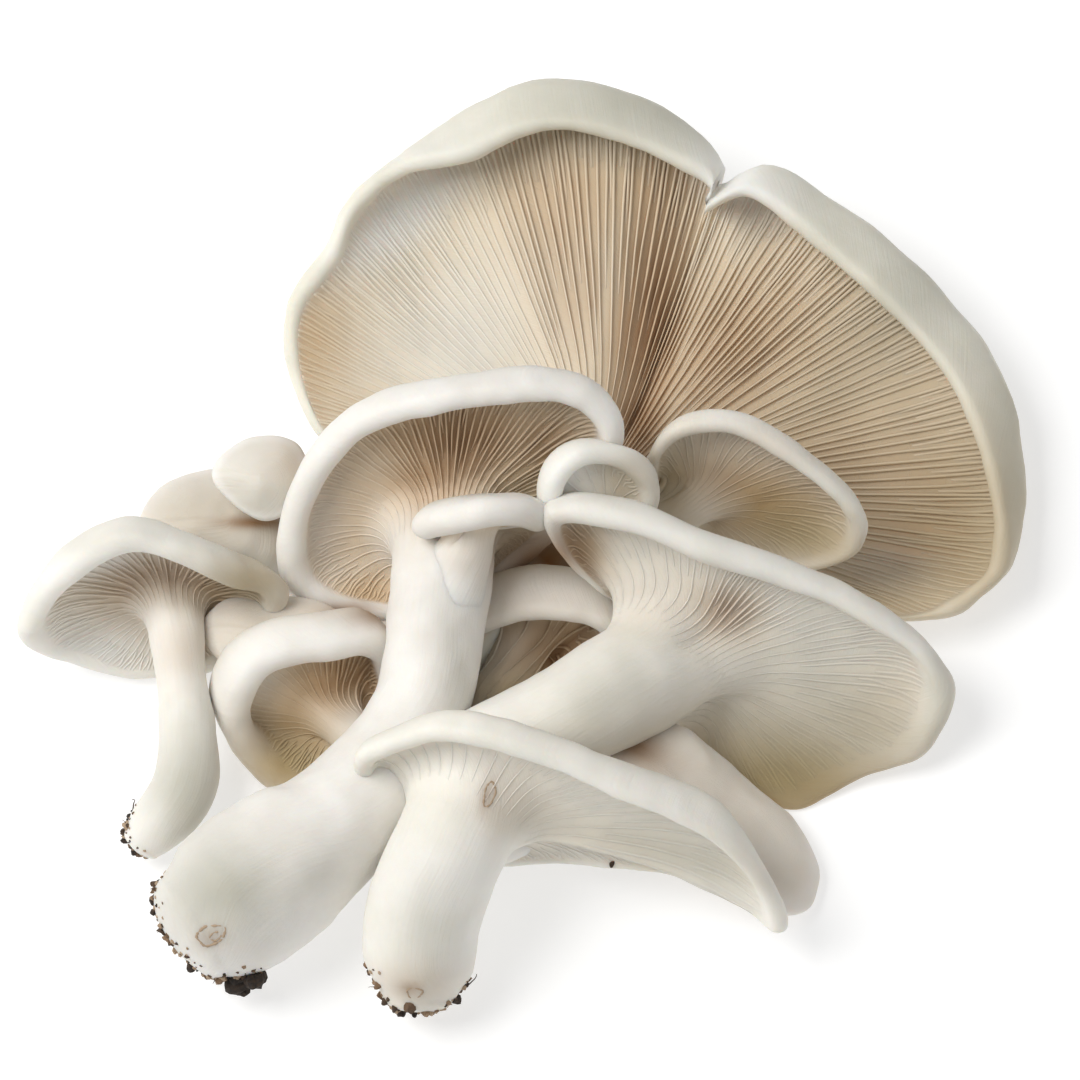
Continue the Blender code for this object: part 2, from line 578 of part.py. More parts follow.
def bridge(bm, lower, upper):
    """Triangles between two rings, where one may have several times the vertices of the other."""
    fine, coarse = (lower, upper) if len(lower) >= len(upper) else (upper, lower)
    step = len(fine) // len(coarse)
    half = (step + 1) // 2
    for index, corner in enumerate(coarse):
        following = coarse[(index + 1) % len(coarse)]
        run = [fine[(index * step + offset) % len(fine)] for offset in range(step + 1)]
        for first, second in zip(run[:half], run[1 : half + 1]):
            bm.faces.new((corner, first, second))
        bm.faces.new((corner, run[half], following))
        for first, second in zip(run[half:], run[half + 1 :]):
            bm.faces.new((following, first, second))


def mushroom_mesh(name, piece, gilled=True):
    """The closed mesh of one mushroom."""
    pole, rows, strides, crown = mushroom_rows(piece, gilled)
    bm = bmesh.new()
    rings = []
    for row, stride in zip(rows, strides):
        rings.append([bm.verts.new(place) for place in world(row[::stride])])
    for lower, upper in zip(rings, rings[1:]):
        bridge(bm, lower, upper)
    for end, ring in ((pole, rings[0]), (crown, rings[-1])):
        tip = bm.verts.new(world(end))
        for first, second in zip(ring, ring[1:] + ring[:1]):
            bm.faces.new((tip, first, second))
    bmesh.ops.recalc_face_normals(bm, faces=bm.faces)
    mesh = bpy.data.meshes.new(name)
    bm.to_mesh(mesh)
    bm.free()
    mesh.shade_smooth()
    return mesh


def material(name, colour, roughness):
    """A plain finish for one piece."""
    made = bpy.data.materials.new(name)
    made.use_nodes = True
    shader = made.node_tree.nodes["Principled BSDF"]
    shader.inputs["Base Color"].default_value = colour
    shader.inputs["Roughness"].default_value = roughness
    shader.inputs["Metallic"].default_value = 0.0
    return made


def add_object(name, mesh):
    """An object in the scene's own collection."""
    made = bpy.data.objects.new(name, mesh)
    bpy.context.scene.collection.objects.link(made)
    return made


def boolean(target, other, operation):
    """A Boolean modifier that joins or cuts target with another object."""
    modifier = target.modifiers.new(f"{operation.lower()} {other.name}", "BOOLEAN")
    modifier.operation = operation
    modifier.object = other


def guide(name, mesh):
    """An object that only shapes others and isn't part of the cluster."""
    made = add_object(name, mesh)
    made.hide_render = True
    made.display_type = "WIRE"
    return made


def bodies(bm):
    """The faces of each separate body in a mesh."""
    left = set(bm.faces)
    found = []
    while left:
        body = [left.pop()]
        for face in body:
            for edge in face.edges:
                for other in edge.link_faces:
                    if other in left:
                        left.remove(other)
                        body.append(other)
        found.append(body)
    return found


def settle(made):
    """Applies a piece's cuts and keeps its main body, without slivers that a cut leaves loose."""
    graph = bpy.context.evaluated_depsgraph_get()
    mesh = bpy.data.meshes.new_from_object(made.evaluated_get(graph), depsgraph=graph)
    made.modifiers.clear()
    bm = bmesh.new()
    bm.from_mesh(mesh)
    for body in sorted(bodies(bm), key=len)[:-1]:
        bmesh.ops.delete(bm, geom=body, context="FACES")
    bm.to_mesh(mesh)
    bm.free()
    made.data = mesh


class Rooms:
    """Swollen copies of the mushrooms, without gills, that keep a neighbour clear of them."""

    def __init__(self):
        self.made = {}
        self.pieces = {name: piece for name, piece, _ in CLUSTER}

    def keep_clear(self, target, name):
        if name not in self.made:
            mesh = mushroom_mesh(f"room {name}", self.pieces[name], gilled=False)
            for vert, normal in zip(mesh.vertices, [vert.normal.copy() for vert in mesh.vertices]):
                vert.co += CLEARANCE * MM * normal
            self.made[name] = guide(f"room {name}", mesh)
        boolean(target, self.made[name], "DIFFERENCE")


def build_mushrooms(rooms):
    """Every mushroom, cut clear of the neighbours that it grows against."""
    for name, piece, neighbours in CLUSTER:
        made = add_object(name, mushroom_mesh(name, piece))
        made.data.materials.append(material(f"{name} flesh", piece["colour"], 0.62))
        for neighbour in neighbours:
            rooms.keep_clear(made, neighbour)
        settle(made)


def lump_mesh(name, place, radius, rng):
    """One rough lump of growing medium."""
    bm = bmesh.new()
    bmesh.ops.create_icosphere(bm, subdivisions=1, radius=1)
    for vert in bm.verts:
        rough = radius * (1 + rng.uniform(-LUMP_ROUGHNESS, LUMP_ROUGHNESS))
        vert.co = world(np.array(place) + rough * np.array(vert.co))
    bmesh.ops.recalc_face_normals(bm, faces=bm.faces)
    mesh = bpy.data.meshes.new(name)
    bm.to_mesh(mesh)
    bm.free()
    return mesh


def build_crumbs(rooms):
    """Lumps grown together along an arc on each foot, cut clear of the foot itself."""
    rng = random.Random(GRAIN_SEED)
    for name, crumbs, foot in CRUMBS:
        x, v, w = crumbs["centre"]
        first, last = (math.radians(angle) for angle in crumbs["angles"])
        made = None
        for index in range(crumbs["count"]):
            turned = first + (last - first) * index / (crumbs["count"] - 1)
            away = crumbs["radius"]
            place = (x + away * math.cos(turned), v + away * math.sin(turned), w)
            size = crumbs["lump"] * rng.uniform(0.9, 1.1)
            mesh = lump_mesh(f"{name} lump {index + 1}", place, size, rng)
            if made is None:
                made = add_object(name, mesh)
                mesh.materials.append(material(f"{name} crumbs", CRUMB_BROWN, 0.9))
            else:
                boolean(made, guide(mesh.name, mesh), "UNION")
        rooms.keep_clear(made, foot)
        settle(made)


def main():
    for old in list(bpy.data.objects):
        bpy.data.objects.remove(old)
    rooms = Rooms()
    build_mushrooms(rooms)
    build_crumbs(rooms)


main()
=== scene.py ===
"""Looks of the oyster mushroom cluster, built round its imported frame, in metres, +Z up.

Every mushroom is grown again from the values of its solid, with a fine skin, a real blade for each
gill and the marks of its own flesh. Places are measured in millimetres in the leaning frame of the
cluster: across (x), up the cluster (v) and out of its face (w). world() turns them onto the table.
"""
import math

import bmesh
import bpy
import numpy as np
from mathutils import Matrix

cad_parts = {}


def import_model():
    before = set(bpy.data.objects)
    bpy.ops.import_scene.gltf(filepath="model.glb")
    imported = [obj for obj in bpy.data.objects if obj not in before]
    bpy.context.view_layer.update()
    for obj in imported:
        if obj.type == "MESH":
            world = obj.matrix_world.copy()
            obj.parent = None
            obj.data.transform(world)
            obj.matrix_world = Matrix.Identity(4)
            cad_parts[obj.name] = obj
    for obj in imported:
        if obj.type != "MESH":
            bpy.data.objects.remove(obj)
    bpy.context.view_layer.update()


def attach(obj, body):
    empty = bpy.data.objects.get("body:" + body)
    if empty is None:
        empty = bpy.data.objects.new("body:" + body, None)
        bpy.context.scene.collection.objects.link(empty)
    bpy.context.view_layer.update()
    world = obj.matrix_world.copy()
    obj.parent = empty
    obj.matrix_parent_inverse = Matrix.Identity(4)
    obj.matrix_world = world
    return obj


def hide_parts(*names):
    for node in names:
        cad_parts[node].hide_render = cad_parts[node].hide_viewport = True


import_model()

MM = 0.001
LEAN = math.radians(25)
SHIFT_X = -0.6
SHIFT_Y = 7.65

CAMERA_TARGET = (3.2, 0.8, 15)
CAMERA_DISTANCE = 2.4
CAMERA_LENS = 500
CAMERA_SENSOR = 36
CAMERA_CLIP = 10

# Shares of the stem's radius: how far its foot bulges, how deep it sits below the gill side, and how
# far it flares into the cap. Then come shares of the cap's reach: where its middle stays level, where
# the flare ends at the least and at the most, and how long a rolled edge is, at most in millimetres.
FOOT_ROUNDING = 0.45
LEAST_SEAT = 0.35
FLARE = 0.6
CAP_CENTRE_EASE = 0.40
LEAST_FILLET = 0.35
WIDEST_FILLET = 0.74
EDGE_CURL = (0.33, 14.0)
# Samples for each span of a rim and a stem, how far the stem's top steps down in millimetres while it
# looks for its seat, the share of the stem that always stays, and the pull of a fillet at its two ends,
# as shares of the gap that it crosses.
RIM_SAMPLES = 40
STEM_SAMPLES = 12
SEAT_STEP = 0.4
LEAST_STEM = 0.35
FILLET_PULLS = (0.42, 0.38)

# The fine rows of a skin, from foot to crown: the step up the stem in millimetres, then how many rows
# each zone has, the angles that the foot and the lip turn through in degrees, and the parts of the way
# to the lip where the gill side ends and the top begins and ends.
STEM_ROW = 1.0
LEAST_STEM_ROWS = 10
FOOT_ROWS = 8
FOOT_TILTS = (84, 6)
FILLET_ROWS = 16
UNDER_ROWS = 44
LAST_GILL_ROW = 0.985
LIP_ROWS = 11
LIP_TILTS = (-78, 78)
TOP_ROWS = 26
TOP_SPAN = (0.985, 0.04)

# How deep the gills are pressed where the fillet ends, as a share of their full depth, how much the
# pale tint (paler flesh, and painted light where flesh lies in shade) closes them, and their greatest
# depth in widths of a column.
FILLET_PRESS = 0.85
PALE_CLOSING = 0.8
MOST_PRESS = 5

# The lumps of real flesh, as (height, size) in millimetres, and how much the gills flatten them.
LUMPS = ((0.26, 13), (0.10, 4.5))
LUMPS_LOST = 0.6

# Blades come in three tiers: long (0), middle (1) and short (2). Middle and short ones start this many
# rows up the gill side, between two limits, and all stop up to two rows before the lip.
TIERS = (0, 2, 1, 2)
MIDDLE_START = (-4, 6)
SHORT_START = (UNDER_ROWS // 4, UNDER_ROWS // 2)
BLADE_STOP = (0, 3)
# How far a blade wavers and shifts, as shares of the gills' spacing, and then in millimetres how far
# its edge leans, how deep its root goes and how far its ends sink below the skin.
BLADE_WAVER = 0.28
BLADE_SHIFT = 0.2
BLADE_LEAN = 0.2
BLADE_ROOT = 0.22
BLADE_SINK = 0.06
# How much of the gills' shade a blade's edge takes, and how much of the tops' colour a cap's top does.
EDGE_SHADE = 0.12
TOP_TONE = 0.4
# Wide skins keep every fourth column on the stem, and narrow ones every second.
WIDE_SKIN = 200

# Linear colours of each flesh: its skin and that skin's darker patches (shade), its gill side (face),
# the painted shade that this is multiplied by between faint gills (gill), the edges of open gills and
# the brown painted shade in their depths (edge and brown), and its tints.
# Of the tints, the warm and olive ones are painted shade in hollows and on sides turned from the light,
# the blush and grey ones are partly the flesh's own tan and grey and partly painted shade, the deep one is
# painted shadow in gaps, under lips and in small hollows, and the pale one is partly paler flesh and
# partly painted light on places that fall in shade. The top colour is the caps' own greyer skin.
TINTS = ("warm_shade", "tan_and_shade", "olive_shade", "grey_and_shade", "deep", "pale")
SHARED_TINTS = dict(
    top=(0.66, 0.62, 0.52),
    tan_and_shade=(0.56, 0.44, 0.32), grey_and_shade=(0.36, 0.35, 0.27), deep=(0.25, 0.11, 0.022),
    pale=(0.88, 0.87, 0.83),
)
FINISHES = {
    "fan_flesh": dict(
        skin=(0.80, 0.78, 0.69), shade=(0.72, 0.70, 0.60), face=(0.82, 0.74, 0.60),
        gill=(0.80, 0.70, 0.56), edge=(0.66, 0.46, 0.28), brown=(0.34, 0.18, 0.09),
        olive_shade=(0.50, 0.37, 0.20), warm_shade=(0.64, 0.46, 0.27), **SHARED_TINTS,
    ),
    "white_flesh": dict(
        skin=(0.86, 0.84, 0.80), shade=(0.80, 0.77, 0.72), face=(0.80, 0.70, 0.56),
        gill=(0.80, 0.72, 0.62), edge=(0.58, 0.41, 0.26), brown=(0.32, 0.18, 0.09),
        olive_shade=(0.42, 0.32, 0.17), warm_shade=(0.66, 0.47, 0.28), **SHARED_TINTS,
    ),
    "cream_flesh": dict(
        skin=(0.86, 0.84, 0.79), shade=(0.80, 0.78, 0.71), face=(0.90, 0.86, 0.77),
        gill=(0.85, 0.80, 0.71), edge=(0.54, 0.41, 0.31), brown=(0.28, 0.17, 0.12),
        olive_shade=(0.38, 0.29, 0.15), warm_shade=(0.52, 0.36, 0.20), **SHARED_TINTS,
    ),
}

# The flesh's surface: patches and pores for each metre, the noise that patches span, fibres across and
# along for each millimetre and how much they stand out beside pores, and the bump's depth in metres.
PATCH_SCALE = 90.0
PATCH_RANGE = (0.38, 0.66)
PORE_SCALE = 1400.0
FIBRE_SCALE = (1.6, 0.10)
FIBRE_HEIGHT = 2.5
PORE_STRENGTH = 0.35
PORE_DEPTH = 0.00012
FLESH_ROUGHNESS = (0.5, 0.62)
FLESH_SPECULAR = 0.35
# How much light runs inside the flesh and the thin blades, how far by colour, and its scale in metres.
FLESH_GLOW = 0.45
BLADE_GLOW = 0.15
GLOW_RADIUS = (1.0, 0.74, 0.52)
GLOW_SCALE = 0.0028

# The growing medium: its colours by tone, its specks for each metre and the depth of its bump.
GRIT_COLOURS = (
    (0.2, (0.012, 0.009, 0.007)), (0.55, (0.085, 0.05, 0.028)),
    (0.85, (0.20, 0.12, 0.065)), (1, (0.42, 0.31, 0.21)),
)
GRIT_SPECKS = 1800.0
GRIT_STRENGTH = 0.6
GRIT_DEPTH = 0.0002
GRIT_ROUGHNESS = (0.75, 0.95)

# The studio: each light's place, size in metres, power in watts and colour, aimed at LIGHT_TARGET.
LIGHTS = {
    "key light": ((-0.66, 0.02, 0.95), 0.7, 10.8, (1, 0.995, 0.98)),
    "fill light": ((0.8, -0.3, 0.7), 0.9, 1, (0.97, 0.98, 1)),
}
LIGHT_TARGET = (0, 0, 0.02)
SKY_STRENGTH = 0.38
FLOOR_HALF = 3
FLOOR_DROP = 0.0002
FLOOR_COLOUR = (0.6, 0.6, 0.6, 1)
FLOOR_ROUGHNESS = 0.7
FLOOR_GLOW = 0.5

# Every rim is a ring of places (x, v, w, curl), seen as the cap's outline, and curl is the angle in
# degrees by which the edge turns over to the gill side. Every stem is a row of (x, v, w, radius)
# that starts at its foot and ends at the cap's centre. An edge_curl is how long a wide rolled edge
# is, as a share of the cap's reach and at most in millimetres, and with a full_curl it shrinks where
# the edge turns by less than that angle. A fold is (x, v, half angle, depth),
# a crease that runs from the cap's centre toward that place, pressed away from the gill side.
TRUNK = dict(
    rim=[
        (-38.4, -2.4, 20, 70), (-37.9, 4, 23.5, 85), (-35.2, 11.2, 28, 92), (-29.6, 18.4, 33.5, 98),
        (-22.4, 22.4, 37, 100), (-12.8, 24.8, 39, 100), (-1.6, 26.1, 39, 100), (6.4, 26.1, 38, 95),
        (12.8, 24, 36, 88), (16.2, 19.2, 33, 75), (15, 13, 27.5, 65), (10.5, 6.5, 23, 55),
        (4, 0, 19.5, 50), (-4, -7, 16.8, 45), (-13.5, -12, 15, 40), (-21.6, -11.6, 15, 45),
        (-26.4, -11, 15, 50), (-32, -9.9, 16, 55), (-36.8, -6.7, 17.5, 60),
    ],
    stem=[
        (-51.8, -60.4, 42, 9.3), (-46.4, -57, 41, 12.2), (-37.4, -50.4, 39, 12), (-30.1, -45, 36.5, 10.3),
        (-20.8, -35.2, 32.5, 8.8), (-16.2, -26.7, 30, 7.9), (-14.2, -18.4, 29, 7.7),
        (-13.2, -11, 29, 7.9), (-12, -3, 28, 8.2), (-11.5, 5.5, 20.5, 9.5),
    ],
    rim_thickness=4.4, hub_thickness=7.5, gills_to_viewer=True,
)
FAN = dict(
    rim=[
        (-31.7, 16.8, 0, 15), (-35.4, 22.4, -1, 25), (-37.9, 31.2, -2, 35), (-37.3, 39.6, -2, 50),
        (-31.7, 47.4, -2, 60), (-28.5, 54.9, -2, 82), (-20.6, 62.8, -2, 112), (-11.6, 69.6, -2, 145),
        (-1.6, 74.6, -2, 150), (8.2, 75.8, -2, 152), (19.6, 73, -2, 150), (27.8, 68, -2, 140),
        (32.6, 62.6, -2, 128), (31.4, 58.6, -1, 128), (39.2, 62.2, -1, 135), (49.2, 57.2, -1, 142),
        (59.2, 49.8, 0, 148), (68.4, 40.8, 1.5, 148), (75.8, 30.8, 3.5, 146), (79.8, 20.6, 6, 140),
        (80.9, 8.8, 9, 128), (79, -2.4, 11.5, 105), (74.4, -8, 12.5, 80), (67.6, -11.7, 12.5, 60),
        (57.6, -12, 12, 50), (42, -8.5, 10, 45), (26, -8, 7.5, 35), (14, -9.5, 5.8, 30),
        (1, -8.5, 5.5, 30), (-9, -3, 3.4, 30), (-18, 7, 1.5, 25), (-26, 13, 0.5, 20),
    ],
    stem=[
        (-15, -27, 22.5, 4), (-9, -18, 16.5, 4.3), (0, -7, 12.8, 4.8), (8, 2, 10.4, 6), (14, 8, 0.6, 9),
    ],
    rim_thickness=3, hub_thickness=8, gills_to_viewer=True,
    edge_curl=(0.6, 34), full_curl=150, folds=[(31.4, 58.6, 13, 3.5)],
)
RIGHT_FUNNEL = dict(
    rim=[
        (4.5, 6.5, 38, 85), (16, 5.8, 39, 95), (28.8, 1.2, 38, 98), (41.6, -3.3, 35, 98),
        (54.4, -9.1, 31, 88), (65.6, -16.8, 26, 65), (69.2, -24.2, 22.5, 40), (64.6, -33.2, 19.5, 20),
        (54.8, -37, 18.5, 12), (44.8, -42, 18.5, 10), (36.8, -39.4, 17.4, 10), (27, -34, 16.4, 15),
        (20.5, -27.5, 15, 25), (16.8, -18, 14.5, 25), (15.5, -9.5, 18, 30), (10.5, -4.5, 27, 50),
        (5.2, 1.2, 34, 70),
    ],
    stem=[
        (-17, -38, 32, 6.5), (-8, -34.5, 32, 7.6), (3, -29.5, 32, 8.2), (13, -24.5, 31.5, 9),
        (26.5, -17, 23.5, 10),
    ],
    rim_thickness=4, hub_thickness=7.5, gills_to_viewer=True,
)
FRONT_LOW = dict(
    rim=[
        (-26, -33.3, 45, 75), (-21.6, -30.7, 50, 85), (-12.8, -28.3, 56, 92), (-3.2, -29.6, 58, 92),
        (6.4, -33.1, 57, 92), (16, -37.6, 55, 90), (25.6, -41.6, 52, 85), (33.6, -46.4, 49, 80),
        (40, -53.6, 45, 60), (42.4, -60.5, 40.5, 35), (37.6, -57, 37, 15), (28.8, -52.4, 36, 10),
        (19.2, -50.8, 34.5, 10), (6.4, -50, 32, 10), (-6.4, -50, 30, 20), (-17, -45.5, 30, 35),
        (-24, -38.5, 37, 60),
    ],
    stem=[
        (-16, -71.2, 40, 6), (-15.8, -66.5, 41, 8.7), (-15.6, -60, 42.8, 9.2), (-14, -54, 44.3, 9.2),
        (-11, -47.5, 45, 8.8), (-7, -40, 41, 10),
    ],
    rim_thickness=3.4, hub_thickness=7, gills_to_viewer=True,
)
LEFT_EDGE = dict(
    rim=[
        (-80, -12.5, 24, 60), (-76, -5.6, 30, 80), (-69.6, -0.5, 34, 85), (-62.4, 2.1, 36, 85),
        (-54.4, 0.4, 35, 80), (-44.8, -3.2, 31, 75), (-37.4, -6.6, 25, 65), (-40, -13, 17, 50),
        (-50, -19.2, 12, 25), (-60.8, -20.3, 10.5, 12), (-65.6, -19.9, 11, 10), (-72, -18.1, 13, 12),
        (-78.4, -15.6, 17, 30),
    ],
    stem=[
        (-60.2, -47.4, 27.6, 3.4), (-57.8, -44.5, 28, 4.6), (-53.6, -38.5, 27.6, 5.2),
        (-53, -29.6, 26.5, 4.6), (-54, -21.6, 24.5, 4.1), (-55, -13, 21, 4.8), (-56, -7.5, 17, 6),
    ],
    rim_thickness=4.4, hub_thickness=5.5, gills_to_viewer=True,
)
LOW_RIGHT = dict(
    rim=[
        (14, -31.5, 29.5, 40), (18, -28.6, 27.5, 40), (25, -28.8, 26, 40), (30, -32.4, 25, 40),
        (37.4, -38.6, 24, 40), (43.5, -43.5, 24, 40), (47.7, -51.4, 26.2, 40), (46, -57.6, 29, 40),
        (41, -58.5, 31.5, 40), (34, -53.5, 33, 40), (25.5, -47.5, 34, 40), (18, -41.5, 34.5, 40),
    ],
    stem=[
        (-8, -49, 38, 3.6), (4, -45, 31.5, 3.4), (15, -43.5, 28.2, 3.4), (24, -43.3, 26.6, 3.6),
        (31.5, -43.5, 30, 5),
    ],
    rim_thickness=2.6, hub_thickness=4.6, gills_to_viewer=False,
)
RIGHT_SMALL = dict(
    rim=[
        (21, 15.5, 26, 85), (24.5, 19, 28, 92), (30, 20.2, 28.5, 95), (36, 19.4, 28, 95),
        (43.2, 15.4, 27, 92), (49.6, 10.6, 25, 85), (54.4, 5.6, 22, 75), (55.4, 1.4, 19, 60),
        (52.8, -2, 16.5, 50), (45, -4, 14, 45), (36, -4, 11.5, 40), (27, -3, 9.5, 35),
        (20.5, 1.5, 9.5, 35), (19.5, 9.5, 16, 55),
    ],
    stem=[
        (9, -7, 15.5, 3), (14.5, -3.5, 16.4, 3.4), (20, 1.5, 17.4, 3.8), (28.5, 8, 15.5, 5.5),
    ],
    rim_thickness=2.8, hub_thickness=4.6, gills_to_viewer=True,
)
CENTRE_BUTTON = dict(
    rim=[
        (3.2, 7.2, 34.5, 95), (4.6, 11.6, 38, 100), (8.4, 15, 39, 95), (13, 15.8, 37.5, 80),
        (18, 14.6, 35, 50), (21.4, 11.6, 32, 35), (22, 7, 28.5, 30), (19.5, 2.8, 26, 30),
        (14, 0.8, 25, 40), (8.4, 1.4, 27, 55), (4.4, 3.6, 31, 80),
    ],
    stem=[
        (12.6, 2, 28.6, 1.9), (12.7, 4, 28.8, 2.1), (12.8, 7, 29.4, 3),
    ],
    rim_thickness=3.8, hub_thickness=3.4, gills_to_viewer=True,
    edge_curl=(0.5, 6),
)
CENTRE_BUD = dict(
    rim=[
        (-16.8, 3, 35.5, 45), (-13, 4, 40.5, 25), (-5.5, 5.2, 43.5, 20), (1.5, 5.4, 40.5, 25),
        (4.6, 4.6, 35.5, 45), (1.5, 5.4, 29.5, 25), (-5.5, 5.2, 27, 20), (-13, 4.2, 29.5, 25),
    ],
    stem=[
        (-14, -22, 26, 5.4), (-12.6, -12, 29.4, 6.2), (-10, -3, 32, 5), (-7.5, 5, 35, 4.2),
    ],
    rim_thickness=5, hub_thickness=5.4, gills_to_viewer=False,
)
INNER = dict(
    rim=[
        (-12.4, -14, 20.5, 100), (-7.4, -10.6, 24, 118), (0, -8, 26.5, 125), (8, -8, 27, 125),
        (14.5, -10.4, 24.5, 110), (16.5, -14, 20, 85), (14.5, -18.5, 15.5, 40), (8, -22, 12.8, 15),
        (-1, -22.4, 12.8, 10), (-9, -20.5, 14, 20), (-13, -16.5, 16.5, 50),
    ],
    stem=[
        (-7, -28.5, 22, 3.2), (-5, -25, 21.2, 4), (-1, -20.5, 18.8, 5), (4, -15, 13, 6.5),
    ],
    rim_thickness=4, hub_thickness=4.6, gills_to_viewer=True,
    edge_curl=(0.8, 15),
)
LEFT_CURL = dict(
    rim=[
        (-48.3, -26.4, 26, 115), (-47.7, -21.6, 28, 128), (-44.8, -16.8, 30, 138), (-39.2, -13.9, 31, 142),
        (-30.4, -12.3, 30.5, 140), (-23, -12.5, 27, 115), (-19, -18, 21, 60), (-18.5, -27, 17, 35),
        (-23, -36, 18.5, 20), (-31, -40, 19, 12), (-38.5, -39, 19.5, 15), (-45, -33.5, 21.5, 55),
    ],
    stem=[
        (-20.5, -36, 31, 3.8), (-25, -32, 26.5, 3.9), (-30.5, -27.5, 18.5, 5.5),
    ],
    rim_thickness=5.2, hub_thickness=5, gills_to_viewer=True,
    edge_curl=(0.6, 12),
)
LEFT_BUTTON = dict(
    rim=[
        (-50.6, -13.8, 20, 40), (-48, -9.4, 19, 40), (-41.6, -8, 18.5, 40), (-35, -8.6, 19.5, 40),
        (-29.5, -10.8, 21, 40), (-28.5, -14.5, 22.5, 40), (-32, -18.5, 23.5, 40), (-39, -20.5, 23.8, 40),
        (-46.5, -19, 22.5, 40),
    ],
    stem=[
        (-20, -13.5, 15, 2.4), (-27, -13.5, 13.4, 2.5), (-34, -15, 14.6, 2.6), (-40, -14.2, 23, 4),
    ],
    rim_thickness=2.6, hub_thickness=4, gills_to_viewer=False,
)
UPPER_LEFT_LARGE = dict(
    rim=[
        (-61.2, 2.6, 12.5, 40), (-59.4, 7.4, 11, 40), (-55, 10.6, 10, 40), (-48.5, 12.2, 9.5, 40),
        (-40, 12, 10, 40), (-35.5, 8, 11, 40), (-35, 1, 12, 40), (-38, -5, 13, 40),
        (-44, -6, 13.8, 40), (-52, -3.6, 14, 40), (-58.4, -1, 13.8, 40),
    ],
    stem=[
        (-15, -21, 25, 2.8), (-22, -16, 14.5, 2.8), (-32, -8.5, 7.8, 2.8), (-41, -2, 7.6, 3),
        (-47, 3.8, 16, 4.5),
    ],
    rim_thickness=2.6, hub_thickness=4.4, gills_to_viewer=False,
)
UPPER_LEFT_SMALL = dict(
    rim=[
        (-49, 11.6, 20, 40), (-46, 15.6, 19, 40), (-41.4, 17.3, 18.5, 40), (-36, 16.2, 19, 40),
        (-34.2, 12.5, 19.6, 40), (-34.6, 8, 20.4, 40), (-37.5, 5.2, 21, 40), (-42, 4.3, 21.4, 40),
        (-46.5, 7.2, 20.8, 40),
    ],
    stem=[
        (-43, 7.6, 15.8, 2), (-42.4, 8.8, 18, 2.2), (-41.4, 10.6, 23, 3.2),
    ],
    rim_thickness=2.4, hub_thickness=3.6, gills_to_viewer=False,
)
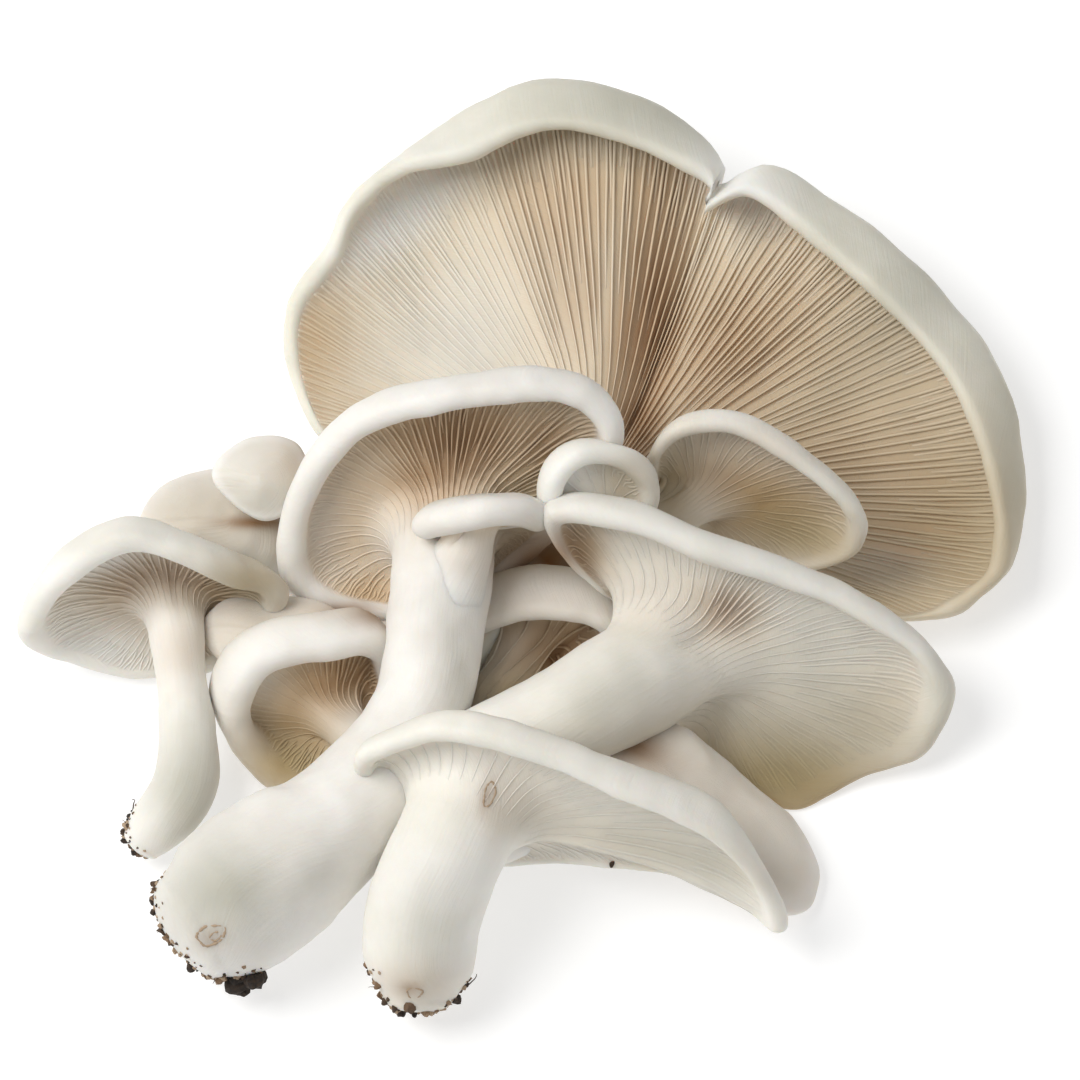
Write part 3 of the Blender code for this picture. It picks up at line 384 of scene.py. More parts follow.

# The looks of each mushroom: how deep its gills are pressed in, in millimetres, where they are faint
# and where they are open; how much of the gill side is smooth at the rim; and how many rows its gills
# run down the stem. Then come its tints, each an oval (x, v, half width, half height, turn in
# degrees, strength) that fades outward. Brown opens the gills and paints shade in their depths, and
# pale closes them and paints light over places in shade. Olive and warm are painted shade, grey and
# blush are painted shade over the flesh's own grey and tan, and deep is painted shadow in gaps,
# under lips and in small hollows.
LOOKS = {
    "mushroom_back_fan": dict(
        relief=(0.30, 1.15), smooth_rim=0.20, run=(2, 9),
        brown=[(21, 34, 7, 26, -6, 0.85), (19, 20, 6, 9, 0, 1.0), (32, 30, 12, 20, -38, 0.55),
               (8, 45, 9, 20, 12, 0.4), (50, 12, 22, 10, -10, 0.30)],
        olive_shade=[(70, 2, 20, 18, 0, 0.75), (52, 14, 26, 18, -20, 0.4), (58, -9, 24, 6, 0, 0.6)],
        warm_shade=[(-34, 34, 8, 20, 0, 0.8), (-26, 20, 18, 6, -40, 0.5), (10, 58, 20, 8, 0, 0.5),
              (56, 30, 24, 14, -30, 0.4), (58, -3, 12, 7, 0, 0.5)],
        grey_and_shade=[(22, 70, 24, 7, -10, 0.45), (70, 48, 8, 34, -40, 0.35), (80, 10, 6, 26, 0, 0.35)],
        pale=[(-8, 32, 13, 15, -20, 0.5), (-19, 54, 14, 5, 42, 0.9), (36, 58, 8, 5, -30, 1.0),
              (58, -3, 8, 4, 0, 0.3)],
        deep=[(19, 17, 3, 6, 0, 0.6), (5, -2, 6, 6, 0, 1.0)],
    ),
    "mushroom_main_trunk": dict(
        relief=(0.15, 0.9), smooth_rim=0.34, run=(0, 4),
        brown=[(-10, 16, 11, 8, 4, 0.8), (4, 16, 8, 6, 0, 0.5), (-14, 11, 8, 7, 0, 0.6)],
        olive_shade=[(6, 8, 11, 6, 0, 0.7)],
        warm_shade=[(-30, 6, 8, 14, -12, 0.6), (-12, 19, 20, 7, 0, 0.7), (-24, -8, 8, 4, 0, 0.9),
              (-14, 10, 9, 7, 0, 0.7)],
        grey_and_shade=[(-47.5, -54.5, 10, 8.5, 0, 0.75), (-34, -53, 9, 3.5, 35, 0.3), (-9, -24, 2.6, 15, 10, 0.3)],
        deep=[(5, -3, 9, 5, 0, 1.0), (-29, -11, 6, 1.8, 8, 0.8), (-48.4, -61.8, 2.6, 1.8, 20, 0.35)],
        pale=[(-33, 3, 5, 10, -12, 0.45)],
    ),
    "mushroom_right_funnel": dict(
        relief=(0.09, 0.75), smooth_rim=0.30, run=(0, 3),
        brown=[(33, -10.5, 6, 4.5, 10, 0.55), (8, -2, 4, 6, 0, 0.5)],
        olive_shade=[(42, -38, 28, 13, -4, 1.0), (54, -31, 20, 8, -14, 0.6)],
        warm_shade=[(9, -1, 5, 6, 0, 1.0), (31, -12, 9, 7, 0, 0.3), (60, -24, 9, 7, 0, 0.35)],
        tan_and_shade=[(20, -9, 7, 6, 0, 0.3)],
        grey_and_shade=[(67, -22, 3, 10, 0, 0.4), (50, -22, 16, 8, -20, 0.2), (13, -24, 10, 5, 30, 0.35)],
        deep=[(5.5, -4, 3.5, 6, 0, 1.0)],
    ),
    "mushroom_front_low": dict(
        relief=(0.09, 0.6), smooth_rim=0.30, run=(0, 3),
        brown=[(-3.2, -42, 5, 5, 0, 0.5)],
        olive_shade=[(20, -48, 26, 3, -14, 0.25)],
        warm_shade=[(-2, -43, 8, 7, 0, 0.25)],
        grey_and_shade=[(28, -50, 18, 6, -20, 0.25), (-15, -62, 5, 12, 0, 0.3)],
        tan_and_shade=[(-4, -42.5, 3.5, 5, 10, 0.25), (-16.5, -69.5, 8, 4, 0, 0.55)],
        deep=[(-17.4, -69.9, 1.8, 1.0, 0, 0.5), (-5.2, -39.6, 1.1, 2.8, -12, 0.4)],
    ),
    "mushroom_left_edge": dict(
        relief=(0.18, 0.8), smooth_rim=0.34, run=(0, 4),
        brown=[(-57, -6, 11, 6, -8, 0.6)],
        olive_shade=[(-43, -6, 8, 5, 0, 0.8)],
        warm_shade=[(-58, -7, 17, 7, 0, 0.7), (-52, -19, 4, 6, 0, 0.5), (-51, -9, 8, 5, 0, 1.0)],
        tan_and_shade=[(-54, -16, 5, 6, 0, 0.5)],
        grey_and_shade=[(-53, -38, 7, 8, 0, 0.6), (-47, -30, 3, 12, 0, 0.3), (-66, 0, 12, 3, 10, 0.25)],
        pale=[(-70, -18, 12, 4.5, 20, 0.6), (-67, -2.6, 9, 2.4, 12, 0.8)],
    ),
    "mushroom_right_small": dict(
        relief=(0.09, 0.4), smooth_rim=0.30, run=(0, 3),
        brown=[(31, 9, 5, 5, 0, 0.35)],
        olive_shade=[(24, 8, 5, 9, 0, 0.7), (46, 1, 13, 6, -20, 0.8)],
        warm_shade=[(38, 7, 18, 9, -10, 1.0)],
        tan_and_shade=[(38, 16, 14, 4, -10, 0.35)],
    ),
    "mushroom_left_curl": dict(
        relief=(0.22, 0.9), smooth_rim=0.42, run=(0, 4),
        brown=[(-27, -22, 6, 6, 20, 0.6)],
        olive_shade=[(-36.5, -35, 11, 8, 0, 1.0)],
        warm_shade=[(-29, -23, 12, 9, 0, 1.0), (-34, -28, 8, 8, 0, 0.9)],
        pale=[(-42, -20, 4, 5, -40, 0.6)],
        deep=[(-21, -11, 7, 2, 0, 0.8), (-31, -26, 8, 7, 0, 0.16)],
    ),
    "mushroom_inner": dict(
        relief=(0.30, 0.7), smooth_rim=0.30, run=(10, 30),
        brown=[(0, -20, 14, 9, 0, 1.0)],
        olive_shade=[(0, -24, 12, 7, 0, 0.9)],
        warm_shade=[(2, -18, 14, 5, 0, 1.0)],
        deep=[(6, -25, 10, 2.4, 25, 0.7), (-9, -20, 2, 8, 0, 0.5), (1, -18.5, 7, 3, 20, 0.3)],
        tan_and_shade=[(4, -9, 14, 4, 0, 0.35)],
    ),
    "mushroom_centre_button": dict(
        relief=(0.06, 0.15), smooth_rim=0.45, run=(0, 2),
        olive_shade=[(18, 11, 6, 4, 0, 0.45)], warm_shade=[(14, 8, 8, 5, 0, 0.3)],
        pale=[(7, 9.8, 4.6, 6, -30, 1.0)],
    ),
    "mushroom_centre_bud": dict(
        relief=(0.02, 0.05), smooth_rim=0.30, run=(0, 2),
        olive_shade=[(3, -1, 4, 4, 0, 0.8)], tan_and_shade=[(-6, -3, 10, 3, 0, 0.3)],
    ),
    "mushroom_low_right": dict(
        relief=(0.20, 0.5), smooth_rim=0.22, run=(0, 3),
        tan_and_shade=[(30, -40, 22, 10, -40, 0.3), (42, -52, 8, 5, -45, 0.3)],
        deep=[(17, -31, 7, 3, -30, 0.9)],
    ),
    "mushroom_left_button": dict(
        relief=(0.15, 0.4), smooth_rim=0.22, run=(0, 3),
        tan_and_shade=[(-40, -13, 14, 6, 0, 0.4)], olive_shade=[(-34, -18, 12, 3, 0, 0.6)],
        deep=[(-27, -12, 5, 3, 0, 0.8)],
    ),
    "mushroom_upper_left_large": dict(
        relief=(0.20, 0.5), smooth_rim=0.22, run=(0, 3),
        tan_and_shade=[(-50, 5, 12, 6, 0, 0.45), (-38, 4, 6, 6, 0, 0.4)],
        grey_and_shade=[(-46, -3, 14, 3, -10, 0.2), (-51, 5, 12, 5, 0, 0.25)],
        deep=[(-42, 3.6, 6, 1.1, 0, 0.9)],
    ),
    "mushroom_upper_left_small": dict(
        relief=(0.15, 0.4), smooth_rim=0.22, run=(0, 3),
        grey_and_shade=[(-40, 7, 8, 3, 0, 0.2)], tan_and_shade=[(-36, 13, 5, 5, 0, 0.45)],
    ),
}

# The dark growing medium on each foot. Grains lie within a band of the foot's edge, seen from
# its middle (x, v) between two angles in degrees. Chunks are (angle, how far out, radius), and hairs
# are (angle, way in x, v and w, length, radius), all from the foot's edge and in millimetres.
FEET = {
    "crumbs_main_foot": dict(
        foot="mushroom_main_trunk", middle=(-45.5, -57), angles=(158, 292), band=2.2, grains=150,
        chunks=[(272, 0.5, 1.3), (277, 0.9, 1.7), (283, 0.9, 1.9), (289, 0.7, 1.5), (279, 2.2, 1.2),
                (175, 0.1, 0.9), (183, 0.2, 0.7), (240, 0.3, 0.8)],
        hairs=[(172, (-0.9, 0.4, 0.3), 2.4, 0.13), (196, (-0.9, -0.4, 0.2), 1.8, 0.10),
               (287, (0.7, 0.5, 0.4), 2.8, 0.14), (262, (-0.2, -1, 0.2), 1.6, 0.10)],
    ),
    "crumbs_front_foot": dict(
        foot="mushroom_front_low", middle=(-15.8, -64.2), angles=(200, 330), band=1.6, grains=100,
        chunks=[(248, 0.2, 0.9), (262, 0.3, 0.7), (312, 0.2, 0.8)],
        hairs=[(318, (0.8, 0.6, 0.2), 4.6, 0.17), (322, (0.9, -0.1, 0.3), 2.6, 0.12),
               (312, (0.5, 0.9, 0.3), 3.0, 0.11), (222, (-1, 0.3, 0.2), 2.0, 0.10)],
    ),
    "crumbs_left_foot": dict(
        foot="mushroom_left_edge", middle=(-59.3, -45.4), angles=(118, 268), band=1.3, grains=70,
        chunks=[(150, 0.2, 0.6), (205, 0.3, 0.8), (236, 0.2, 0.7)],
        hairs=[(132, (-0.1, 1, 0.2), 3.4, 0.15), (160, (-0.9, 0.5, 0.2), 1.8, 0.10),
               (214, (-1, -0.2, 0.3), 1.7, 0.10)],
    ),
}
GRAIN_SIZES = (0.22, 0.85)
# The rows above a foot's end where its edge is looked for, the degrees to each side, and how far a
# place of the edge may face away from the viewer.
EDGE_ROWS = 16
EDGE_DEGREES = 6
EDGE_FACING = -0.35
# The tones of hairs and of old scars, from black (0) to dry flesh (1).
HAIR_TONE = 0.2
SCAR_TONE = 0.88

# Old scars, as ovals on a mushroom: (x, v, half width, half height, turn in degrees, line radius).
SCARS = [
    ("mushroom_main_trunk", (-48.6, -61.4, 2.3, 1.5, 20, 0.3)),
    ("mushroom_main_trunk", (-47.9, -61.6, 1.0, 0.6, 30, 0.2)),
    ("mushroom_front_low", (-4.8, -39.3, 0.8, 2.0, -14, 0.25)),
    ("mushroom_front_low", (-16.6, -70.6, 1.2, 0.8, 0, 0.2)),
]
# A loose bit of growing medium under the front cap's arm, at (x, v), with its radius and tone, and its
# hair as (way in x, v and w, length, radius).
LOOSE_BIT = (14.6, -50.6)
BIT_RADIUS = 0.65
BIT_TONE = 0.1
BIT_HAIR = ((0.1, 1, 0.4), 2.0, 0.11)

# The seeds of every random draw.
SKIN_SEED = 40
CRUMB_SEED = 70
MARK_SEED = 90

# Each mushroom with its values, the columns of its skin, how many gills it has and its material slot.
CLUSTER = [
    ("mushroom_main_trunk", TRUNK, 256, 192, "white_flesh"),
    ("mushroom_front_low", FRONT_LOW, 256, 160, "cream_flesh"),
    ("mushroom_back_fan", FAN, 384, 384, "fan_flesh"),
    ("mushroom_right_funnel", RIGHT_FUNNEL, 256, 192, "cream_flesh"),
    ("mushroom_left_curl", LEFT_CURL, 160, 120, "white_flesh"),
    ("mushroom_left_edge", LEFT_EDGE, 160, 128, "cream_flesh"),
    ("mushroom_centre_bud", CENTRE_BUD, 96, 0, "white_flesh"),
    ("mushroom_inner", INNER, 96, 48, "white_flesh"),
    ("mushroom_centre_button", CENTRE_BUTTON, 96, 48, "cream_flesh"),
    ("mushroom_right_small", RIGHT_SMALL, 160, 112, "cream_flesh"),
    ("mushroom_low_right", LOW_RIGHT, 128, 64, "white_flesh"),
    ("mushroom_left_button", LEFT_BUTTON, 96, 48, "white_flesh"),
    ("mushroom_upper_left_large", UPPER_LEFT_LARGE, 128, 64, "white_flesh"),
    ("mushroom_upper_left_small", UPPER_LEFT_SMALL, 96, 48, "white_flesh"),
]


def unit(vectors):
    """Vectors, in the last axis, at length one."""
    return vectors / np.maximum(np.linalg.norm(vectors, axis=-1, keepdims=True), 1e-9)


def smooth(value):
    """An eased step from 0 to 1."""
    value = np.clip(value, 0, 1)
    return value * value * (3 - 2 * value)


def catmull_rom(before, start, end, after, part):
    """The smooth curve from start to end, at part of the way."""
    return 0.5 * (
        2 * start
        + (end - before) * part
        + (2 * before - 5 * start + 4 * end - after) * part**2
        + (3 * start - before - 3 * end + after) * part**3
    )


def ring_curve(points, samples):
    """A closed smooth curve through points, in samples places per span."""
    points = np.array(points, float)
    parts = np.arange(samples)[:, None] / samples
    spans = zip(np.roll(points, 1, 0), points, np.roll(points, -1, 0), np.roll(points, -2, 0))
    return np.concatenate([catmull_rom(*span, parts) for span in spans])


def open_curve(points, samples):
    """An open smooth curve through points, ends included."""
    points = np.array(points, float)
    padded = np.vstack([2 * points[0] - points[1], points, 2 * points[-1] - points[-2]])
    parts = np.arange(samples)[:, None] / samples
    spans = [
        catmull_rom(*padded[first : first + 4], parts) for first in range(len(points) - 1)
    ]
    return np.concatenate(spans + [points[-1:]])


def along(curve):
    """The length of a curve up to each of its points."""
    steps = np.linalg.norm(np.diff(curve[:, :3], axis=0), axis=1)
    return np.concatenate([[0], np.cumsum(steps)])


def turn(vectors, start, end):
    """Vectors turned by the smallest rotation that takes start to end."""
    axis = np.cross(start, end)
    cosine = float(np.dot(start, end))
    cross = np.cross(axis, vectors)
    return vectors + cross + np.cross(axis, cross) / max(1 + cosine, 1e-6)


def swell(points, size, seed):
    """Gentle lumps of about this size, as a sum of waves in seeded directions."""
    rng = np.random.default_rng(seed)
    total = 0
    for _ in range(8):
        way = unit(rng.normal(size=3))
        phase = rng.uniform(0, 2 * math.pi)
        wavelength = size * rng.uniform(0.7, 1.7)
        total = total + np.sin(points @ way * (2 * math.pi / wavelength) + phase)
    return total / 4


def world(points):
    """Places in the leaning frame as world metres, with what reaches the table resting on it."""
    x, v, w = np.moveaxis(np.asarray(points, float), -1, 0)
    y = v * math.cos(LEAN) - w * math.sin(LEAN) + SHIFT_Y
    z = np.maximum(v * math.sin(LEAN) + w * math.cos(LEAN), 0)
    return np.stack([x + SHIFT_X, y, z], axis=-1) * MM


class Cap:
    """One cap's outline, its middle surface and its gill side, in columns round its centre."""

    def __init__(self, piece, columns):
        centre = np.array(piece["stem"][-1][:3], float)
        rim = ring_curve(piece["rim"], RIM_SAMPLES)
        spokes = rim[:, :3] - centre
        normal = unit(np.cross(spokes, np.roll(spokes, -1, 0)).sum(axis=0))
        if (normal[2] < 0) != piece["gills_to_viewer"]:
            normal = -normal
            rim = rim[::-1]
            spokes = spokes[::-1]
        flat = spokes - (spokes @ normal)[:, None] * normal
        side = unit(flat[0])
        other = np.cross(normal, side)
        angle = np.unwrap(np.arctan2(flat @ other, flat @ side))
        closed = np.vstack([rim, rim[:1]])
        length = along(closed)
        turned = np.append(angle, angle[0] + 2 * math.pi) / (2 * math.pi)
        share = np.maximum.accumulate(0.5 * length / length[-1] + 0.5 * turned)
        wanted = share[0] + (share[-1] - share[0]) * np.arange(columns) / columns
        place = np.stack([np.interp(wanted, share, column) for column in closed.T], axis=1)
        spokes = place[:, :3] - centre
        self.centre = centre
        self.normal = normal
        self.height = spokes @ normal
        flat = spokes - self.height[:, None] * normal
        self.reach = np.linalg.norm(flat, axis=1)
        self.out = unit(flat)
        self.curl = np.radians(place[:, 3])
        longest_share, longest = piece.get("edge_curl", EDGE_CURL)
        rolled = np.minimum(longest_share * np.hypot(self.reach, self.height), longest)
        if "full_curl" in piece:
            rolled *= np.minimum(place[:, 3] / piece["full_curl"], 1) ** 1.5
        self.curl_ahead = rolled * np.cos(self.curl)
        self.curl_up = rolled * np.sin(self.curl)
        self.rim_half = piece["rim_thickness"] / 2
        self.hub_half = piece["hub_thickness"] / 2
        self.fold = np.zeros(columns)
        for x, v, half_angle, depth in piece.get("folds", []):
            toward = np.array([x, v, centre[2]]) - centre
            toward = unit(toward - (toward @ normal) * normal)
            off = np.degrees(np.arccos(np.clip(self.out @ toward, -1, 1)))
            self.fold += depth * np.exp(-((off / half_angle) ** 2))
        self.stretch = np.ones(columns)
        tail = np.repeat(np.linspace(0.5, 1, 24)[:, None], columns, axis=1)
        flesh = self.flesh(tail)
        middle, across = self.profile(tail)
        outermost = np.max(middle[0] + across[0] * flesh, axis=0)
        outermost = np.maximum(outermost, middle[0, -1] + self.rim_half)
        self.stretch = self.reach / outermost

    def flesh(self, part):
        """Half the flesh's thickness at part of the way to the lip."""
        return self.rim_half + (self.hub_half - self.rim_half) * (1 - part) ** 1.5

    def profile(self, part):
        """The middle surface and its normal, as reach and height, at part of the way to the lip."""
        zero = np.zeros_like(self.reach)
        corners = [
            (zero, zero),
            (CAP_CENTRE_EASE * self.reach, zero),
            (self.reach - self.curl_ahead, self.height + self.curl_up),
            (self.reach, self.height),
        ]
        weights = [(1 - part) ** 3, 3 * part * (1 - part) ** 2, 3 * part**2 * (1 - part), part**3]
        reach = sum(weight * corner[0] for weight, corner in zip(weights, corners))
        height = sum(weight * corner[1] for weight, corner in zip(weights, corners))
        slopes = [3 * (1 - part) ** 2, 6 * part * (1 - part), 3 * part**2]
        ahead = [
            sum(w * (b[axis] - a[axis]) for w, a, b in zip(slopes, corners, corners[1:]))
            for axis in (0, 1)
        ]
        height = height + self.fold * np.sin(math.pi * part**0.8) ** 1.2
        reach = reach * self.stretch
        ahead[0] = ahead[0] * self.stretch
        size = np.maximum(np.hypot(*ahead), 1e-9)
        return np.array([reach, height]), np.array([-ahead[1] / size, ahead[0] / size])

    def place(self, flat):
        """Points from reach and height in each column."""
        return self.centre + flat[0][..., None] * self.out + flat[1][..., None] * self.normal

    def surface(self, part, side):
        """Points of the top (side 1) or the gill side (side -1), and the way into the flesh."""
        middle, across = self.profile(part)
        inward = across[0][..., None] * self.out + across[1][..., None] * self.normal
        return self.place(middle + side * self.flesh(part) * across), -side * inward


def gill_side_height(cap):
    """How far the gill side lies from the centre at any reach, for each column."""
    parts = np.linspace(0.02, 1, 40)[:, None] * np.ones(len(cap.reach))
    middle, across = cap.profile(parts)
    under = middle - cap.flesh(parts) * across
    widest = np.maximum.accumulate(under[0], axis=0)
    return widest, under[1]


def ring_at(curve, length, stop):
    """The centre, radius and way up of the stem at a stop along it."""
    row = [np.interp(stop, length, column) for column in curve.T]
    ahead, behind = (
        np.array([np.interp(stop + step, length, column) for column in curve[:, :3].T])
        for step in (0.5, -0.5)
    )
    return np.array(row[:3]), row[3], unit(ahead - behind)


def last_stop(curve, length, cap):
    """How far the round stem goes before it would touch the gill side."""
    widest, heights = gill_side_height(cap)
    stop = length[-1] - cap.hub_half
    while stop > LEAST_STEM * length[-1]:
        centre, radius, way = ring_at(curve, length, stop)
        points = centre + radius * turn(cap.out, cap.normal, way) - cap.centre
        reach = np.einsum("ij,ij->i", points, cap.out)
        height = points @ cap.normal
        side = [
            np.interp(reach[i], widest[:, i], heights[:, i]) for i in range(0, len(reach), 4)
        ]
        if np.min(np.array(side) - height[::4]) > LEAST_SEAT * radius:
            return stop
        stop -= SEAT_STEP
    return stop


def fillet(cap, ring):
    """The sweep from the highest ring of the stem out to the gill side."""
    centre, radius, way, spread = ring
    start = centre + radius * spread
    reach = np.einsum("ij,ij->i", start - cap.centre, cap.out)
    wanted = np.clip(reach + FLARE * radius, LEAST_FILLET * cap.reach, WIDEST_FILLET * cap.reach)
    parts = np.linspace(0.05, 0.95, 46)[:, None] * np.ones(len(wanted))
    middle, _ = cap.profile(parts)
    ending = np.array(
        [np.interp(want, middle[0, :, i], parts[:, 0]) for i, want in enumerate(wanted)]
    )
    end, inward = (block[0] for block in cap.surface(ending[None], -1))
    further = cap.surface(ending[None] + 0.02, -1)[0][0]
    outward = unit(further - end)
    open_side = np.clip((wanted - reach) / (FLARE * radius), 0, 1)[:, None]
    arrival = unit(open_side * outward + (1.02 - open_side) * cap.normal)
    gap = np.linalg.norm(end - start, axis=1)[:, None]
    first = start + FILLET_PULLS[0] * gap * way
    second = end - FILLET_PULLS[1] * gap * arrival
    return start, first, second, end, spread, inward, ending


class Skin:
    """The fine surface of one mushroom: rows of places from foot to crown in columns round it."""

    def __init__(self, piece, columns, look):
        cap = Cap(piece, columns)
        self.columns = columns
        self.row_list = []
        rings = self.stem_rings(piece, cap)
        self.add_foot(rings[0])
        self.first_stem = len(self.row_list)
        for centre, radius, _, spread in rings:
            self.add_row(centre + radius * spread, -spread)
        self.first_fillet = len(self.row_list)
        ending = self.add_fillet(cap, rings[-1])
        self.first_under = len(self.row_list)
        self.add_gill_side(cap, ending, look["smooth_rim"])
        self.first_lip = len(self.row_list)
        self.add_lip(cap)
        self.first_top = len(self.row_list)
        for part in np.linspace(*TOP_SPAN, TOP_ROWS):
            self.add_row(cap.surface(part * np.ones((1, columns)), 1)[0][0])
        self.crown = cap.surface(np.zeros((1, columns)), 1)[0][0, 0]
        self.rows = len(self.row_list)
        places, ways, depths, faces = zip(*self.row_list)
        self.outer = np.array(places)
        self.face = np.array(faces)[:, None] * np.ones(columns)
        self.top = np.zeros((self.rows, columns))
        self.top[self.first_top :] = smooth(np.linspace(0, 4, TOP_ROWS))[:, None]
        self.press(np.array(depths), np.array(ways), look)
        self.normals = self.facing(self.outer)

    def add_row(self, places, way=None, depth=0.0, face=0.0):
        """A row of places, the way into its flesh, how deep its gills are and how much it is gill side."""
        way = np.zeros((self.columns, 3)) if way is None else way
        self.row_list.append((places, way, depth, face))

    def stem_rings(self, piece, cap):
        """The rings of the stem, from foot to top, each as centre, radius, way up and spread."""
        curve = open_curve(piece["stem"], STEM_SAMPLES)
        length = along(curve)
        last = last_stop(curve, length, cap)
        rings = []
        spread, above = cap.out, cap.normal
        for stop in np.linspace(last, 0, max(LEAST_STEM_ROWS, round(last / STEM_ROW))):
            centre, radius, way = ring_at(curve, length, stop)
            spread = turn(spread, above, way)
            above = way
            rings.append((centre, radius, way, spread))
        return rings[::-1]

    def add_foot(self, ring):
        """The rounded end of the stem."""
        centre, radius, way, spread = ring
        for tilt in np.radians(np.linspace(*FOOT_TILTS, FOOT_ROWS)):
            drop = FOOT_ROUNDING * radius * math.sin(tilt)
            self.add_row(centre - drop * way + radius * math.cos(tilt) * spread)
        self.foot = centre - FOOT_ROUNDING * radius * way

    def add_fillet(self, cap, ring):
        """The sweep from stem to gill side, and the part of the way to the lip where it ends."""
        start, first, second, end, spread, inward, ending = fillet(cap, ring)
        for step in range(1, FILLET_ROWS + 1):
            part = step / (FILLET_ROWS + 1)
            place = (
                (1 - part) ** 3 * start
                + 3 * part * (1 - part) ** 2 * first
                + 3 * part**2 * (1 - part) * second
                + part**3 * end
            )
            way = unit((1 - part) * -spread + part * inward)
            self.add_row(place, way, FILLET_PRESS * part, part**1.5)
        return ending

    def add_gill_side(self, cap, ending, smooth_rim):
        """The gill side, whose gills fade out toward its smooth rim."""
        for part in np.linspace(0, LAST_GILL_ROW, UNDER_ROWS):
            place, way = cap.surface((ending + (1 - ending) * part)[None], -1)
            depth = min(1, FILLET_PRESS + part) * smooth((1 - part) / smooth_rim)
            self.add_row(place[0], way[0], depth, smooth((1 - part) / (0.6 * smooth_rim)))

    def add_lip(self, cap):
        """The round lip."""
        middle, across = cap.profile(np.ones((1, self.columns)))
        ahead = np.array([across[1], -across[0]])
        for tilt in np.radians(np.linspace(*LIP_TILTS, LIP_ROWS)):
            offset = cap.rim_half * (math.cos(tilt) * ahead + math.sin(tilt) * across)
            self.add_row(cap.place(middle + offset)[0])

    def press(self, depths, ways, look):
        """Presses the gill side in: a little where its gills are faint, deeply where they are open."""
        faint, deep = look["relief"]
        self.open = tint(self.outer, look.get("brown", []))
        closed = 1 - PALE_CLOSING * tint(self.outer, look.get("pale", []))
        depth = depths[:, None] * closed * (faint + (deep - faint) * self.open)
        width = np.linalg.norm(np.roll(self.outer, -1, 1) - self.outer, axis=2)
        depth = np.minimum(depth, MOST_PRESS * width)
        # How far each place is pressed in, as a share; the flesh paints shade with it between the gills.
        self.pressed = depth / deep
        self.places = self.outer + ways * depth[..., None]

    def facing(self, places):
        """The way out of the flesh at each place."""
        round_it = np.roll(places, -1, 1) - np.roll(places, 1, 1)
        up_it = np.gradient(places, axis=0)
        normals = unit(np.cross(round_it, up_it))
        ring = places[self.first_stem]
        if np.sum(normals[self.first_stem] * (ring - ring.mean(axis=0))) < 0:
            normals = -normals
        return normals

    def roughen(self, seed):
        """Grows the small unevenness of real flesh."""
        (broad, broad_size), (fine, fine_size) = LUMPS
        lumps = broad * swell(self.places, broad_size, seed)
        lumps = lumps + fine * swell(self.places, fine_size, seed + 1)
        lumps = lumps * (1 - LUMPS_LOST * self.pressed)
        self.places = self.places + self.normals * lumps[..., None]
        self.outer = self.outer + self.normals * lumps[..., None]


def tint(places, ovals):
    """How strongly each place is tinted by a list of fading ovals."""
    total = np.zeros(places.shape[:-1])
    for x, v, half_width, half_height, turned, strength in ovals:
        angle = math.radians(turned)
        across = places[..., 0] - x
        up = places[..., 1] - v
        a = (across * math.cos(angle) + up * math.sin(angle)) / half_width
        b = (-across * math.sin(angle) + up * math.cos(angle)) / half_height
        total = np.maximum(total, strength * np.exp(-(a * a + b * b)))
    return total


def tint_masks(places, face, look):
    """The masks of a look's tints, of which brown and the warm painted shade stay on the gill side."""
    masks = {colour: tint(places, look.get(colour, [])) for colour in ("brown", *TINTS)}
    masks["brown"] = masks["brown"] * face
    masks["warm_shade"] = masks["warm_shade"] * face
    return dict(masks, face=face)


def mesh_object(name, verts, faces, finish, masks, smooth_shaded=True):
    """An object of one mesh in world metres, with its finish and its masks for that finish."""
    mesh = bpy.data.meshes.new(name)
    mesh.from_pydata(world(verts).tolist(), [], faces)
    mesh.validate()
    for mask, values in masks.items():
        values = np.asarray(values, np.float32)
        kind = "FLOAT_VECTOR" if values.ndim == 2 else "FLOAT"
        layer = mesh.attributes.new(mask, kind, "POINT")
        layer.data.foreach_set("vector" if values.ndim == 2 else "value", values.ravel())
    if smooth_shaded:
        mesh.shade_smooth()
    mesh.materials.append(finish)
    made = bpy.data.objects.new(name, mesh)
    bpy.context.scene.collection.objects.link(made)
    return made


def skin_faces(skin, strides):
    """The faces of a skin whose rows keep only every so many columns, and its kept places."""
    first = []
    kept = []
    count = 0
    for row, stride in enumerate(strides):
        first.append(count)
        kept += [row * skin.columns + column for column in range(0, skin.columns, stride)]
        count += skin.columns // stride
    faces = []
    for row in range(len(strides) - 1):
        low, high = strides[row], strides[row + 1]
        a, b = first[row], first[row + 1]
        size_low, size_high = skin.columns // low, skin.columns // high
        if low == high:
            for i in range(size_low):
                j = (i + 1) % size_low
                faces.append((a + i, a + j, b + j, b + i))
        elif low > high:
            for i in range(size_low):
                j = (i + 1) % size_low
                faces.append((a + i, a + j, b + (2 * i + 1) % size_high))
                faces.append((a + i, b + (2 * i + 1) % size_high, b + 2 * i))
                faces.append((a + j, b + (2 * i + 2) % size_high, b + (2 * i + 1) % size_high))
        else:
            for i in range(size_high):
                j = (i + 1) % size_high
                faces.append((b + i, a + (2 * i + 1) % size_low, b + j))
                faces.append((b + i, a + 2 * i, a + (2 * i + 1) % size_low))
                faces.append((b + j, a + (2 * i + 1) % size_low, a + (2 * i + 2) % size_low))
    ends = []
    for pole, row, order in ((count, 0, 1), (count + 1, len(strides) - 1, -1)):
        size = skin.columns // strides[row]
        for i in range(size):
            ends.append((pole, first[row] + (i + 1) % size, first[row] + i)[::order])
    return kept, faces + ends


